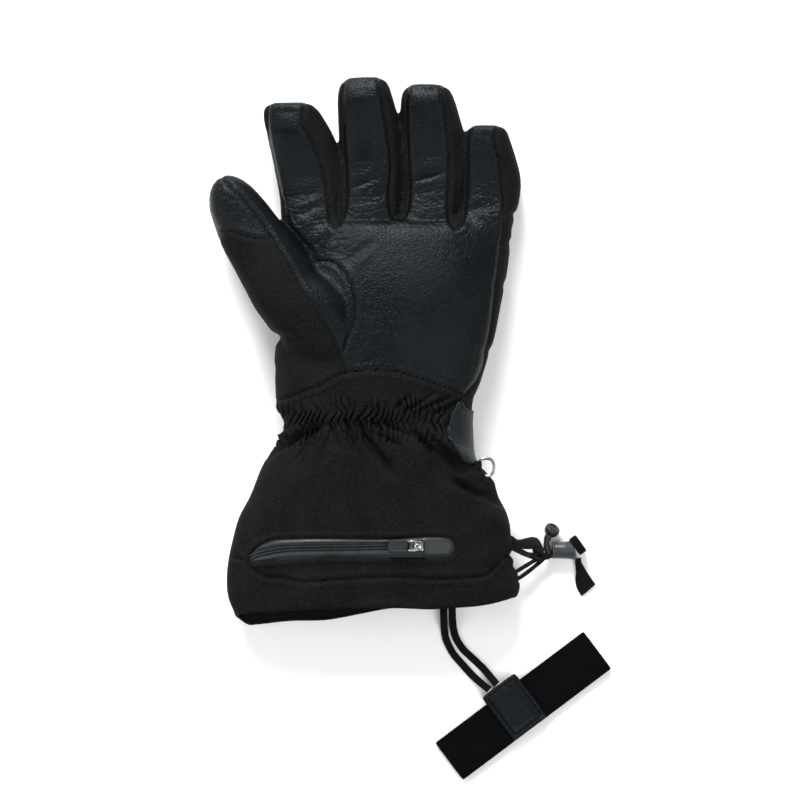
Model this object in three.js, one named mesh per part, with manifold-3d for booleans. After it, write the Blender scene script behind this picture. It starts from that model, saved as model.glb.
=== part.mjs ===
import * as THREE from 'three';
import { mergeVertices } from 'three/addons/utils/BufferGeometryUtils.js';
import Module from 'manifold-3d';

const wasm = await Module();
wasm.setup();

// Heated winter glove for the left hand, lying palm up, fingers towards +Y. Millimetres.
// Driving sizes of the soft body
const gauntletLength = 131;
const palmLength = 107;
const hemWidth = 181;
const palmWidth = 139;
const hemHeight = 40;
const wristHeight = 49;
const palmHeight = 48;
const fingerLength = 93.5;
const fingerHeight = 30;
const thumbLength = 124;
const thumbWidth = 44;
const thumbHeight = 35;
const handWall = 4;
const cuffWall = 2.8;
const seamGap = 0.3;

// Sizes of the fittings
const zipLength = 127;
const zipWidth = 13.4;
const sliderLength = 9.6;
const sliderWidth = 7.6;
const pullWire = 1.3;
const pullRingLength = 8;
const pullTabLength = 12;
const pullTabWidth = 8;
const pullTabThickness = 1.9;
const patchThickness = 1.6;
const ringOuter = 11.4;
const ringWire = 2;
const webbingThickness = 0.9;
const ringLoopWidth = 5.6;
const drawcordDiameter = 2.6;
const lockLength = 14;
const lockDiameter = 11;
const lockStalkDiameter = 4.6;
const lockHeadDiameter = 9;
const lockEndLength = 6.5;
const ribbonThickness = 1.2;
const leashWidth = 4.6;
const leashThickness = 1.7;
const tabLength = 29;
const tabWidth = 26;
const tabThickness = 2.4;
const bandWidth = 28.8;
const bandLength = 116;
const bandLayer = 1.7;
const bandGap = 1;
const bandLift = 0.1;
const bandHeight = 2 * bandLayer + bandGap;

// Fine depth of the folds
const gatherDepth = 1.5;
const gatherCount = 9;
const foldDepth = 2.4;

// Body sections from the hem (0) to the wrist seam (1): lengths in shares of the gauntlet, widths in
// shares of the hem, heights in shares of the wrist height
const gauntletRows = [
  { along: 0.0, left: -0.466, right: 0.462, bottom: 0.0, middle: 0.36, top: hemHeight / wristHeight },
  { along: 0.057, left: -0.483, right: 0.497, bottom: 0.0, middle: 0.36, top: hemHeight / wristHeight },
  { along: 0.127, left: -0.49, right: 0.514, bottom: 0.0, middle: 0.36, top: 0.83 },
  { along: 0.236, left: -0.486, right: 0.492, bottom: 0.0, middle: 0.36, top: 0.86 },
  { along: 0.349, left: -0.469, right: 0.483, bottom: 0.0, middle: 0.36, top: 0.89 },
  { along: 0.448, left: -0.449, right: 0.473, bottom: 0.0, middle: 0.36, top: 0.92 },
  { along: 0.547, left: -0.411, right: 0.438, bottom: 0.0, middle: 0.37, top: 0.94 },
  { along: 0.625, left: -0.389, right: 0.4, bottom: 0.005, middle: 0.375, top: 0.95 },
  { along: 0.69, left: -0.37, right: 0.358, bottom: 0.01, middle: 0.38, top: 0.96 },
  { along: 0.755, left: -0.342, right: 0.352, bottom: 0.03, middle: 0.39, top: 0.97 },
  { along: 0.825, left: -0.298, right: 0.349, bottom: 0.05, middle: 0.4, top: 0.96 },
  { along: 0.88, left: -0.294, right: 0.347, bottom: 0.06, middle: 0.4, top: 0.95 },
  { along: 0.915, left: -0.296, right: 0.347, bottom: 0.06, middle: 0.4, top: 0.96 },
  { along: 0.958, left: -0.318, right: 0.349, bottom: 0.05, middle: 0.4, top: 0.98 },
  { along: 1.0, left: -0.322, right: 0.351, bottom: 0.04, middle: 0.4, top: 1.0 },
];

// Body sections from the wrist seam (0) to the finger crotches (1): shares of the palm's sizes
const palmRows = [
  { along: 0.105, left: -0.424, right: 0.491, bottom: 0.02, middle: 0.38, top: 1.05 },
  { along: 0.25, left: -0.428, right: 0.527, bottom: -0.01, middle: 0.36, top: 1.05 },
  { along: 0.349, left: -0.415, right: 0.552, bottom: -0.03, middle: 0.36, top: 1.04 },
  { along: 0.483, left: -0.384, right: 0.573, bottom: -0.04, middle: 0.35, top: 1.02 },
  { along: 0.686, left: -0.357, right: 0.603, bottom: -0.04, middle: 0.34, top: 0.97 },
  { along: 0.872, left: -0.353, right: 0.623, bottom: -0.03, middle: 0.34, top: 0.88 },
  { along: 1.0, left: -0.362, right: 0.629, bottom: 0.0, middle: 0.36, top: 0.78 },
  { along: 1.06, left: -0.33, right: 0.59, bottom: 0.12, middle: 0.38, top: 0.62 },
];

// Fingers: place of the base and width in shares of the palm, length in shares of the longest finger, and
// rows with the centre's sideways shift and the half width in shares of the finger's width
const fingers = [
  {
    name: 'index', across: -0.263, along: 1.0, length: 0.829 * fingerLength, width: 0.2986 * palmWidth,
    rows: [
      { along: -0.3, shift: 0.045, half: 0.44 },
      { along: 0.0, shift: 0.03, half: 0.475 },
      { along: 0.23, shift: 0.03, half: 0.495 },
      { along: 0.44, shift: -0.007, half: 0.5 },
      { along: 0.7, shift: -0.12, half: 0.478 },
      { along: 0.88, shift: -0.24, half: 0.418 },
      { along: 0.965, shift: -0.29, half: 0.345 },
      { along: 1.0, shift: -0.31, half: 0.22 },
    ],
  },
  {
    name: 'middle', across: -0.009, along: 1.0, length: fingerLength, width: 0.2806 * palmWidth,
    rows: [
      { along: -0.26, shift: 0.0, half: 0.45 },
      { along: 0.0, shift: 0.0, half: 0.492 },
      { along: 0.22, shift: 0.045, half: 0.497 },
      { along: 0.4, shift: 0.07, half: 0.5 },
      { along: 0.57, shift: 0.045, half: 0.494 },
      { along: 0.7, shift: 0.016, half: 0.48 },
      { along: 0.88, shift: -0.052, half: 0.43 },
      { along: 0.965, shift: -0.06, half: 0.36 },
      { along: 1.0, shift: -0.065, half: 0.23 },
    ],
  },
  {
    name: 'ring', across: 0.255, along: 1.0, length: 0.952 * fingerLength, width: 0.2806 * palmWidth,
    rows: [
      { along: -0.27, shift: -0.02, half: 0.44 },
      { along: 0.0, shift: 0.0, half: 0.468 },
      { along: 0.25, shift: 0.115, half: 0.485 },
      { along: 0.42, shift: 0.125, half: 0.495 },
      { along: 0.63, shift: 0.1, half: 0.49 },
      { along: 0.79, shift: 0.045, half: 0.46 },
      { along: 0.9, shift: 0.01, half: 0.42 },
      { along: 0.97, shift: -0.005, half: 0.345 },
      { along: 1.0, shift: -0.015, half: 0.22 },
    ],
  },
  {
    name: 'little', across: 0.508, along: 1.0, length: 0.679 * fingerLength, width: 0.259 * palmWidth,
    rows: [
      { along: -0.36, shift: -0.09, half: 0.45 },
      { along: 0.0, shift: -0.01, half: 0.492 },
      { along: 0.24, shift: 0.1, half: 0.5 },
      { along: 0.46, shift: 0.14, half: 0.5 },
      { along: 0.7, shift: 0.1, half: 0.45 },
      { along: 0.86, shift: 0.06, half: 0.4 },
      { along: 0.96, shift: 0.05, half: 0.33 },
      { along: 1.0, shift: 0.045, half: 0.2 },
    ],
  },
];

// Depth of every finger along its length, in shares of the finger height: the tips curl up
const fingerDepths = [
  { along: -0.36, bottom: 0.1, middle: 0.48, top: 0.95 },
  { along: 0.0, bottom: 0.03, middle: 0.48, top: 1.08 },
  { along: 0.25, bottom: -0.02, middle: 0.46, top: 1.0 },
  { along: 0.5, bottom: -0.01, middle: 0.48, top: 1.0 },
  { along: 0.72, bottom: 0.06, middle: 0.53, top: 1.06 },
  { along: 0.88, bottom: 0.18, middle: 0.64, top: 1.12 },
  { along: 0.965, bottom: 0.34, middle: 0.72, top: 1.1 },
  { along: 1.0, bottom: 0.5, middle: 0.76, top: 1.0 },
];

// Thumb: its root and its lean from the hand's direction, and rows in shares of its length, width and height
const thumbRoot = { across: -0.214, along: 0.279, lean: 0.495 };
const thumbRows = [
  { along: -0.08, outer: 0.1, inner: 0.42, bottom: 0.3, middle: 0.8, top: 1.38 },
  { along: 0.0, outer: 0.3, inner: 0.62, bottom: 0.2, middle: 0.8, top: 1.47 },
  { along: 0.15, outer: 0.44, inner: 0.74, bottom: 0.1, middle: 0.8, top: 1.54 },
  { along: 0.26, outer: 0.5, inner: 0.66, bottom: 0.12, middle: 0.8, top: 1.56 },
  { along: 0.36, outer: 0.536, inner: 0.5, bottom: 0.22, middle: 0.82, top: 1.54 },
  { along: 0.47, outer: 0.534, inner: 0.46, bottom: 0.32, middle: 0.86, top: 1.5 },
  { along: 0.58, outer: 0.532, inner: 0.42, bottom: 0.38, middle: 0.88, top: 1.44 },
  { along: 0.68, outer: 0.532, inner: 0.358, bottom: 0.4, middle: 0.88, top: 1.4 },
  { along: 0.8, outer: 0.49, inner: 0.3, bottom: 0.42, middle: 0.88, top: 1.36 },
  { along: 0.9, outer: 0.42, inner: 0.23, bottom: 0.46, middle: 0.9, top: 1.32 },
  { along: 0.97, outer: 0.3, inner: 0.12, bottom: 0.55, middle: 0.92, top: 1.24 },
  { along: 1.0, outer: 0.18, inner: 0.02, bottom: 0.7, middle: 0.95, top: 1.14 },
];

// Height of the side seam that parts the palm side from the back, in shares of the body's length and height
const sideSeamRows = [
  { along: -0.2, height: 0.36 },
  { along: 0.5, height: 0.35 },
  { along: 0.95, height: 0.3 },
  { along: 1.15, height: 0.2 },
  { along: 2.0, height: 0.25 },
  { along: 2.5, height: 0.3 },
  { along: 3.1, height: 0.4 },
];

// Seam lines. Across is a share of the half width there, from -1 at the thumb's side to 1
const fingerSeams = { thumbSide: -0.88, littleSide: 0.5, littleFingerSide: 0.38 };
const wristSeam = [
  { across: -1.3, along: 0.985 },
  { across: -0.93, along: 1.0 },
  { across: -0.76, along: 1.03 },
  { across: -0.58, along: 1.07 },
  { across: -0.3, along: 1.16 },
  { across: 0.0, along: 1.165 },
  { across: 0.28, along: 1.145 },
  { across: 0.55, along: 1.1 },
  { across: 0.78, along: 1.06 },
  { across: 0.93, along: 1.03 },
  { across: 1.3, along: 1.02 },
];
const palmEdgeSeam = [
  { across: 0.9, along: 0.93 },
  { across: 0.9, along: 0.79 },
  { across: 0.9, along: 0.6 },
  { across: 0.88, along: 0.45 },
  { across: 0.87, along: 0.32 },
  { across: 0.88, along: 0.19 },
  { across: 0.9, along: 0.1 },
];
const hemSeam = [
  { across: -1.3, along: 0.135 },
  { across: -1.0, along: 0.137 },
  { across: -0.6, along: 0.165 },
  { across: -0.45, along: 0.147 },
  { across: 0.2, along: 0.165 },
  { across: 0.65, along: 0.163 },
  { across: 0.84, along: 0.185 },
  { across: 0.98, along: 0.24 },
  { across: 1.3, along: 0.25 },
];
// Thumb seams in shares of the thumb's length and width; across is positive towards the palm
const thumbOuterSeam = [
  { along: 1.12, across: 0.02 },
  { along: 0.97, across: -0.02 },
  { along: 0.8, across: 0.13 },
  { along: 0.66, across: 0.17 },
  { along: 0.52, across: 0.17 },
  { along: 0.34, across: 0.05 },
  { along: 0.18, across: -0.02 },
  { along: 0.03, across: -0.01 },
  { along: -0.15, across: 0.16 },
  { along: -0.22, across: 0.23 },
];
const thumbCapSeam = [
  { along: 0.76, across: -0.8 },
  { along: 0.74, across: -0.55 },
  { along: 0.76, across: -0.35 },
  { along: 0.68, across: -0.1 },
  { along: 0.62, across: 0.17 },
];
const keystoneSeam = [
  { along: 0.9, across: 0.43 },
  { along: 0.766, across: 0.38 },
  { along: 0.68, across: 0.39 },
  { along: 0.6, across: 0.42 },
  { along: 0.52, across: 0.47 },
  { along: 0.46, across: 0.5 },
  { along: 0.42, across: 0.56 },
  { along: 0.4, across: 0.68 },
  { along: 0.34, across: 0.8 },
  { along: 0.24, across: 0.86 },
  { along: 0.1, across: 0.72 },
  { along: -0.02, across: 0.46 },
  { along: -0.15, across: 0.16 },
];

// Smooth value of one column of a table at a share along it
function sample(rows, along, column) {
  const last = rows.length - 1;
  if (along <= rows[0].along) return rows[0][column];
  if (along >= rows[last].along) return rows[last][column];
  const i = rows.findIndex((row, k) => k < last && along <= rows[k + 1].along);
  const a = rows[i];
  const b = rows[i + 1];
  const before = rows[Math.max(i - 1, 0)];
  const after = rows[Math.min(i + 2, last)];
  const span = b.along - a.along;
  const t = (along - a.along) / span;
  const slope = (p, q) => (q[column] - p[column]) / Math.max(q.along - p.along, 1e-6);
  const inSlope = slope(before, b) * span;
  const outSlope = slope(a, after) * span;
  const rise = b[column] - a[column];
  return a[column] + t * (inSlope + t * (3 * rise - 2 * inSlope - outSlope + t * (inSlope + outSlope - 2 * rise)));
}

// Body rows in millimetres, from the hem to the finger crotches
const bodyRows = [
  ...gauntletRows.map((row) => ({
    along: row.along,
    left: row.left * hemWidth,
    right: row.right * hemWidth,
    bottom: row.bottom * wristHeight,
    middle: row.middle * wristHeight,
    top: row.top * wristHeight,
  })),
  ...palmRows.map((row) => ({
    along: 1 + row.along,
    left: row.left * palmWidth,
    right: row.right * palmWidth,
    bottom: row.bottom * palmHeight,
    middle: row.middle * palmHeight,
    top: row.top * palmHeight,
  })),
];

const lengthwise = (along) => (along <= 1 ? along * gauntletLength : gauntletLength + (along - 1) * palmLength);

function bodySection(along) {
  const left = sample(bodyRows, along, 'left');
  const right = sample(bodyRows, along, 'right');
  return {
    centre: (left + right) / 2,
    half: (right - left) / 2,
    bottom: sample(bodyRows, along, 'bottom'),
    middle: sample(bodyRows, along, 'middle'),
    top: sample(bodyRows, along, 'top'),
  };
}

function fingerSection(finger, along) {
  return {
    centre: finger.across * palmWidth + sample(finger.rows, along, 'shift') * finger.width,
    half: sample(finger.rows, along, 'half') * finger.width,
    bottom: sample(fingerDepths, along, 'bottom') * fingerHeight,
    middle: sample(fingerDepths, along, 'middle') * fingerHeight,
    top: sample(fingerDepths, along, 'top') * fingerHeight,
  };
}

// Point at a share of the half width and of the length, on the body or on a finger
function onBody({ across, along }) {
  const section = bodySection(along);
  return new THREE.Vector2(section.centre + across * section.half, lengthwise(along));
}

const fingerBase = (finger) => gauntletLength + finger.along * palmLength;

function onFinger(finger, along, across) {
  const section = fingerSection(finger, along);
  return new THREE.Vector2(section.centre + across * section.half, fingerBase(finger) + along * finger.length);
}

const thumbStart = new THREE.Vector2(thumbRoot.across * palmWidth, gauntletLength + thumbRoot.along * palmLength);
const thumbWay = new THREE.Vector2(-Math.sin(thumbRoot.lean), Math.cos(thumbRoot.lean));
const thumbSideways = new THREE.Vector2(Math.cos(thumbRoot.lean), Math.sin(thumbRoot.lean));

function onThumb({ along, across }) {
  return thumbStart
    .clone()
    .addScaledVector(thumbWay, along * thumbLength)
    .addScaledVector(thumbSideways, across * thumbWidth);
}

// Height of the folds over the palm side, at a share of the half width and along the body
function ridge(point, from, to, width) {
  const line = to.clone().sub(from);
  const t = THREE.MathUtils.clamp(point.clone().sub(from).dot(line) / line.lengthSq(), 0, 1);
  const away = point.distanceTo(from.clone().addScaledVector(line, t));
  return Math.exp(-((away / width) ** 2)) * Math.sin(Math.PI * THREE.MathUtils.lerp(0.12, 0.88, t));
}

const cuffFolds = [
  { from: [0.36, 0.82], to: [0.97, 0.48], width: 9, height: 1.0 },
  { from: [-0.5, 0.8], to: [-0.85, 0.45], width: 9, height: 0.6 },
  { from: [-0.15, 0.8], to: [-0.3, 0.5], width: 8, height: 0.45 },
  { from: [0.15, 0.8], to: [0.3, 0.5], width: 8, height: 0.5 },
  { from: [0.45, 1.07], to: [0.85, 0.93], width: 5, height: 0.6 },
];

function foldHeight(across, along) {
  const inBand = Math.exp(-(((along - 0.94) / 0.055) ** 2));
  const overTop = THREE.MathUtils.smoothstep(0.97 - Math.abs(across), 0, 0.12);
  const gather = gatherDepth * inBand * overTop * Math.cos(Math.PI * gatherCount * across);
  const point = onBody({ across, along });
  const folds = cuffFolds.map((fold) => {
    const from = onBody({ across: fold.from[0], along: fold.from[1] });
    const to = onBody({ across: fold.to[0], along: fold.to[1] });
    return foldDepth * fold.height * ridge(point, from, to, fold.width);
  });
  return gather + overTop * folds.reduce((sum, value) => sum + value, 0);
}

// The hem's edge leans: the back layer reaches further out than the palm side
const hemEdge = { front: 0.01, back: -0.045, thumbCorner: -0.02, littleCorner: 0.075 };

function hemShift(across, low) {
  const corner = across < 0 ? hemEdge.thumbCorner * across ** 4 : hemEdge.littleCorner * across ** 4;
  return THREE.MathUtils.lerp(hemEdge.front, hemEdge.back, low) + corner;
}

// Closed body through rings of points, which may differ in number; each end is closed by a fan
function loft(rings) {
  const starts = [];
  const points = [];
  rings.forEach((ring) => {
    starts.push(points.length);
    points.push(...ring);
  });
  const index = [];
  for (let r = 0; r < rings.length - 1; r += 1) {
    const [near, far] = [rings[r], rings[r + 1]];
    const at = (ring, row, k) => starts[row] + (k % ring.length);
    const share = (ring, k) => (k < ring.length ? ring.shares[k] : 2);
    let i = 0;
    let j = 0;
    while (i < near.length || j < far.length) {
      const stepNear = j >= far.length || (i < near.length && share(near, i + 1) <= share(far, j + 1));
      const [a, c] = [at(near, r, i), at(far, r + 1, j)];
      if (stepNear) index.push(a, c, at(near, r, (i += 1)));
      else index.push(a, c, at(far, r + 1, (j += 1)));
    }
  }
  [0, rings.length - 1].forEach((r) => {
    const ring = rings[r];
    const middle = new THREE.Vector3();
    ring.forEach((point) => middle.addScaledVector(point, 1 / ring.length));
    const hub = points.push(middle) - 1;
    ring.forEach((_, k) => {
      const a = starts[r] + k;
      const b = starts[r] + ((k + 1) % ring.length);
      index.push(...(r ? [b, a, hub] : [a, b, hub]));
    });
  });
  const geometry = new THREE.BufferGeometry().setFromPoints(points);
  geometry.setIndex(index);
  return geometry;
}

function solid(geometry) {
  const plain = geometry.clone();
  plain.deleteAttribute('normal');
  plain.deleteAttribute('uv');
  const merged = mergeVertices(plain, 1e-4);
  return new wasm.Manifold(
    new wasm.Mesh({
      numProp: 3,
      vertProperties: new Float32Array(merged.attributes.position.array),
      triVerts: new Uint32Array(merged.index.array),
    }),
  );
}

function geometryOf(shape) {
  const mesh = shape.getMesh();
  const geometry = new THREE.BufferGeometry();
  geometry.setAttribute('position', new THREE.BufferAttribute(new Float32Array(mesh.vertProperties), 3));
  geometry.setIndex(new THREE.BufferAttribute(new Uint32Array(mesh.triVerts), 1));
  geometry.computeVertexNormals();
  return geometry;
}

// Rise of a section, from 0 at its edge to 1 at its middle: round on the palm side, squarer below
const crownPower = 2.5;
const restPower = 3.2;
const roundRise = (across, power) => Math.max(1 - Math.abs(across) ** power, 0) ** (1 / power);

// One ring of a rounded flat section, flat below where it rests
function sectionRing({ centre, half, bottom, middle, top }, y, steps, inset, lift = () => 0, shift = () => 0) {
  const ring = [];
  const { above, below } = steps;
  for (let k = 0; k < above + below; k += 1) {
    const upper = k < above;
    const angle = upper ? (Math.PI * k) / above : Math.PI + (Math.PI * (k - above)) / below;
    const across = Math.cos(angle);
    const rise = roundRise(across, upper ? crownPower : restPower);
    const height = upper ? top - middle - inset : -(middle - bottom - inset);
    const z = middle + rise * height + (upper ? lift(across) : 0);
    const low = upper ? 0 : rise;
    ring.push(new THREE.Vector3(centre + across * (half - inset), y + shift(across, low), Math.max(z, inset, 0)));
  }
  ring.shares = ring.map((_, k) => (k < above ? k / above : 1 + (k - above) / below));
  return ring;
}

const spread = (from, to, count) => Array.from({ length: count }, (_, k) => from + ((to - from) * k) / (count - 1));

function bodyLoft(inset, alongs, stepsAt, folded) {
  return loft(
    alongs.map((along) => {
      const shift = (across, low) => {
        const fade = THREE.MathUtils.clamp(1 - along / 0.14, 0, 1);
        return fade * hemShift(across, low) * gauntletLength;
      };
      const lift = folded ? (across) => foldHeight(across, along) : undefined;
      return sectionRing(bodySection(along), lengthwise(along), stepsAt(along), inset, lift, shift);
    }),
  );
}

function fingerLoft(finger, inset, alongs, steps) {
  const reach = 1 - inset / finger.length;
  return loft(
    alongs.map((share) => {
      const along = Math.min(share, reach);
      const crease = 0.7 * Math.exp(-(((share - 0.36) / 0.05) ** 2));
      const section = fingerSection(finger, share);
      const lift = () => -crease;
      return sectionRing(section, fingerBase(finger) + along * finger.length, steps, inset, lift);
    }),
  );
}

function thumbLoft(inset, alongs, steps) {
  const rings = alongs.map((share) => {
    const along = Math.min(share, 1 - inset / thumbLength);
    const outer = sample(thumbRows, share, 'outer') * thumbWidth;
    const inner = sample(thumbRows, share, 'inner') * thumbWidth;
    const section = {
      centre: (inner - outer) / 2,
      half: (inner + outer) / 2,
      bottom: sample(thumbRows, share, 'bottom') * thumbHeight,
      middle: sample(thumbRows, share, 'middle') * thumbHeight,
      top: sample(thumbRows, share, 'top') * thumbHeight,
    };
    const ring = sectionRing(section, 0, steps, inset);
    ring.forEach((point) => {
      const flat = onThumb({ along, across: point.x / thumbWidth });
      point.set(flat.x, flat.y, point.z);
    });
    return ring;
  });
  return loft(rings);
}

// Shares along each soft part where it has sections, and the points that a section has
const bodyAlongs = [0, 0.05, 0.12, 0.24, 0.38, 0.52, 0.64, 0.75, 0.83, 0.88, 0.92, 0.95, 0.99, 1.06];
const palmAlongs = [1.13, 1.25, 1.4, 1.55, 1.7, 1.85, 1.97, 2.06];
const fingerAlongs = [-0.26, 0, 0.26, 0.37, 0.5, 0.72, 0.87, 0.95, 0.985, 1];
const thumbAlongs = [-0.08, 0.04, 0.18, 0.32, 0.44, 0.62, 0.8, 0.9, 0.97, 1];
const innerBodyAlongs = [-0.2, 0.1, 0.4, 0.68, 0.86, 1.1, 1.5, 1.98];
const innerFingerAlongs = [-0.26, 0.2, 0.6, 0.88, 0.96];
const innerThumbAlongs = [-0.04, 0.14, 0.34, 0.7, 0.9, 0.96];
const gatherSteps = { above: 48, below: 6 };
const cuffSteps = { above: 20, below: 7 };
const palmSteps = { above: 15, below: 7 };
const fingerSteps = { above: 8, below: 5 };
const innerSteps = { above: 10, below: 6 };
const innerFingerSteps = { above: 6, below: 4 };

function bodySteps(along) {
  if (along > 1.02) return palmSteps;
  return along > 0.86 ? gatherSteps : cuffSteps;
}

const outerBody = (grow) => solid(bodyLoft(-grow, [...bodyAlongs, ...palmAlongs], bodySteps, true));
const softOuter = [
  outerBody(0),
  ...fingers.map((finger) => solid(fingerLoft(finger, 0, fingerAlongs, fingerSteps))),
  solid(thumbLoft(0, thumbAlongs, fingerSteps)),
];
const softInner = [
  solid(bodyLoft(cuffWall, innerBodyAlongs, () => innerSteps, false)),
  ...fingers.map((finger) => solid(fingerLoft(finger, handWall, innerFingerAlongs, innerFingerSteps))),
  solid(thumbLoft(handWall, innerThumbAlongs, innerFingerSteps)),
];
const joined = (shapes) => shapes.reduce((sum, shape) => sum.add(shape));
const shell = joined(softOuter).subtract(joined(softInner));

// Upright block over a closed outline
function prism(points, low, high) {
  const geometry = new THREE.ExtrudeGeometry(new THREE.Shape(points), {
    depth: high - low,
    bevelEnabled: false,
    steps: 1,
  });
  geometry.translate(0, 0, low);
  return solid(geometry);
}

// Offset corner at one end of a block: mitred to its neighbour at a mild bend, else run past the end
const mildBend = 0.5;
function blockEnd(point, way, neighbourWay, width) {
  const side = new THREE.Vector2(-way.y, way.x);
  if (neighbourWay && way.dot(neighbourWay) > mildBend) {
    const neighbourSide = new THREE.Vector2(-neighbourWay.y, neighbourWay.x);
    const mitre = side.clone().add(neighbourSide).multiplyScalar(width / 2 / (1 + way.dot(neighbourWay)));
    return { left: point.clone().add(mitre), right: point.clone().sub(mitre), past: 0 };
  }
  side.multiplyScalar(width / 2);
  return { left: point.clone().add(side), right: point.clone().sub(side), past: width / 2 };
}

// Short upright blocks end to end, an even width along a line
function stripBlocks(points, width, low, high) {
  const ways = points.slice(1).map((end, k) => end.clone().sub(points[k]).normalize());
  return ways.map((way, k) => {
    const near = blockEnd(points[k], way, ways[k - 1], width);
    const far = blockEnd(points[k + 1], way, ways[k + 1], width);
    const before = way.clone().multiplyScalar(-near.past);
    const after = way.clone().multiplyScalar(far.past);
    const corners = [
      near.left.add(before),
      far.left.add(after),
      far.right.add(after),
      near.right.add(before),
    ];
    return prism(corners, low, high);
  });
}

const tall = 2 * palmHeight;
const wide = hemWidth;
const seamCut = (points) => joined(stripBlocks(points, seamGap, -1, tall));

// Halves above and below the side seam
function sideSeamBlock(upper) {
  const line = sideSeamRows.map((row) => {
    const y = row.along <= 2 ? lengthwise(row.along) : fingerBase(fingers[1]) + (row.along - 2) * fingers[1].length;
    return new THREE.Vector2(y, row.height * palmHeight + (upper ? seamGap : -seamGap) / 2);
  });
  const edge = upper ? tall : -1;
  const outline = [...line, new THREE.Vector2(line.at(-1).x, edge), new THREE.Vector2(line[0].x, edge)];
  const geometry = new THREE.ExtrudeGeometry(new THREE.Shape(outline), { depth: 2 * wide, bevelEnabled: false });
  const turn = new THREE.Matrix4().set(0, 0, 1, -wide, 1, 0, 0, 0, 0, 1, 0, 0, 0, 0, 0, 1);
  geometry.applyMatrix4(turn);
  return solid(geometry);
}

const palmSide = shell.intersect(sideSeamBlock(true));
const backSide = shell.intersect(sideSeamBlock(false));

// Seam lines over the whole glove
const wristLine = wristSeam.map(onBody);
const hemLine = hemSeam.map(onBody);
const palmEdgeLine = palmEdgeSeam.map(({ across, along }) => onBody({ across, along: 1 + along }));
const seamShares = [1.12, 0.93, 0.7, 0.4, 0.15];
const fingerLines = fingers.map((finger) => {
  const littleSide = finger.name === 'little' ? fingerSeams.littleFingerSide : fingerSeams.littleSide;
  const line = (across) => seamShares.map((along) => onFinger(finger, along, across));
  return { thumbSide: line(fingerSeams.thumbSide), littleSide: line(littleSide) };
});
const crotches = fingers.slice(1).map((finger, k) => {
  const before = onFinger(fingers[k], 0, 1);
  const after = onFinger(finger, 0, -1);
  return before.add(after).multiplyScalar(0.5);
});
const thumbSeamLine = thumbOuterSeam.map(onThumb);
const thumbCapLine = thumbCapSeam.map(onThumb);
const keystoneLine = keystoneSeam.map(onThumb);

// The leather's edge runs up and down each finger, from the thumb's side to the little finger's
const fingerValleys = fingerLines.slice(1).map(({ thumbSide }, k) => [
  ...fingerLines[k].littleSide,
  crotches[k],
  ...[...thumbSide].reverse(),
]);
const indexSideLine = [...fingerLines[0].thumbSide].reverse();
const littleSideLine = [...fingerLines.at(-1).littleSide, ...palmEdgeLine, onBody({ across: 0.93, along: 1.03 })];
const thumbCrotch = keystoneLine[2];
const backWristLine = [onBody({ across: -1.3, along: 0.99 }), onBody({ across: 1.3, along: 1.02 })];

const palmCuts = [
  wristLine,
  hemLine,
  littleSideLine,
  [thumbCrotch, ...indexSideLine],
  thumbSeamLine,
  thumbCapLine,
  keystoneLine,
  ...fingerValleys,
].map(seamCut);
const backCuts = [backWristLine, hemLine].map(seamCut);
const cutBy = (source, cuts) => cuts.reduce((rest, cut) => rest.subtract(cut), source).decompose();
const palmPanels = cutBy(palmSide, palmCuts);
const backPanels = cutBy(backSide, backCuts);

// The panel that lies under or over a spot; crumbs between the seams fall away
function panelAt(panels, spot) {
  const reach = 1.5;
  const corners = [[-1, -1], [1, -1], [1, 1], [-1, 1]];
  const probe = prism(corners.map(([x, y]) => new THREE.Vector2(spot.x + x * reach, spot.y + y * reach)), -1, tall);
  const shares = panels.map((panel) => panel.intersect(probe).volume());
  return panels[shares.indexOf(Math.max(...shares))];
}

const [index, middle, ring, little] = fingers;
const panelSpots = {
  palm_leather: [palmPanels, onBody({ across: 0.2, along: 1.6 })],
  index_side: [palmPanels, onFinger(index, 0.5, -0.97)],
  fourchette_index_middle: [palmPanels, onFinger(index, 0.5, 0.8)],
  fourchette_middle_ring: [palmPanels, onFinger(middle, 0.5, 0.8)],
  fourchette_ring_little: [palmPanels, onFinger(ring, 0.5, 0.8)],
  little_side: [palmPanels, onFinger(little, 0.3, 0.8)],
  thumb_leather: [palmPanels, onThumb({ along: 0.3, across: 0.3 })],
  thumb_outer: [palmPanels, onThumb({ along: 0.4, across: -0.3 })],
  thumb_tip_cap: [palmPanels, onThumb({ along: 0.88, across: -0.2 })],
  gauntlet_front: [palmPanels, onBody({ across: 0, along: 0.5 })],
  hem_front: [palmPanels, onBody({ across: 0, along: 0.06 })],
  hand_back: [backPanels, onBody({ across: 0, along: 1.5 })],
  gauntlet_back: [backPanels, onBody({ across: 0, along: 0.5 })],
  hem_back: [backPanels, onBody({ across: 0, along: 0.06 })],
};

// Height of the palm side's surface at a place on the body
function topAt(x, y) {
  const along = y <= gauntletLength ? y / gauntletLength : 1 + (y - gauntletLength) / palmLength;
  const section = bodySection(along);
  const across = (x - section.centre) / section.half;
  const rise = (section.top - section.middle) * roundRise(across, crownPower);
  return section.middle + rise + foldHeight(across, along);
}

// Outline moved outwards by a distance
function grown(points, distance) {
  const count = points.length;
  const turn = THREE.ShapeUtils.area(points) > 0 ? 1 : -1;
  return points.map((point, k) => {
    const before = points[(k + count - 1) % count];
    const after = points[(k + 1) % count];
    const way = after.clone().sub(before).normalize();
    return new THREE.Vector2(point.x + turn * way.y * distance, point.y - turn * way.x * distance);
  });
}

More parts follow.
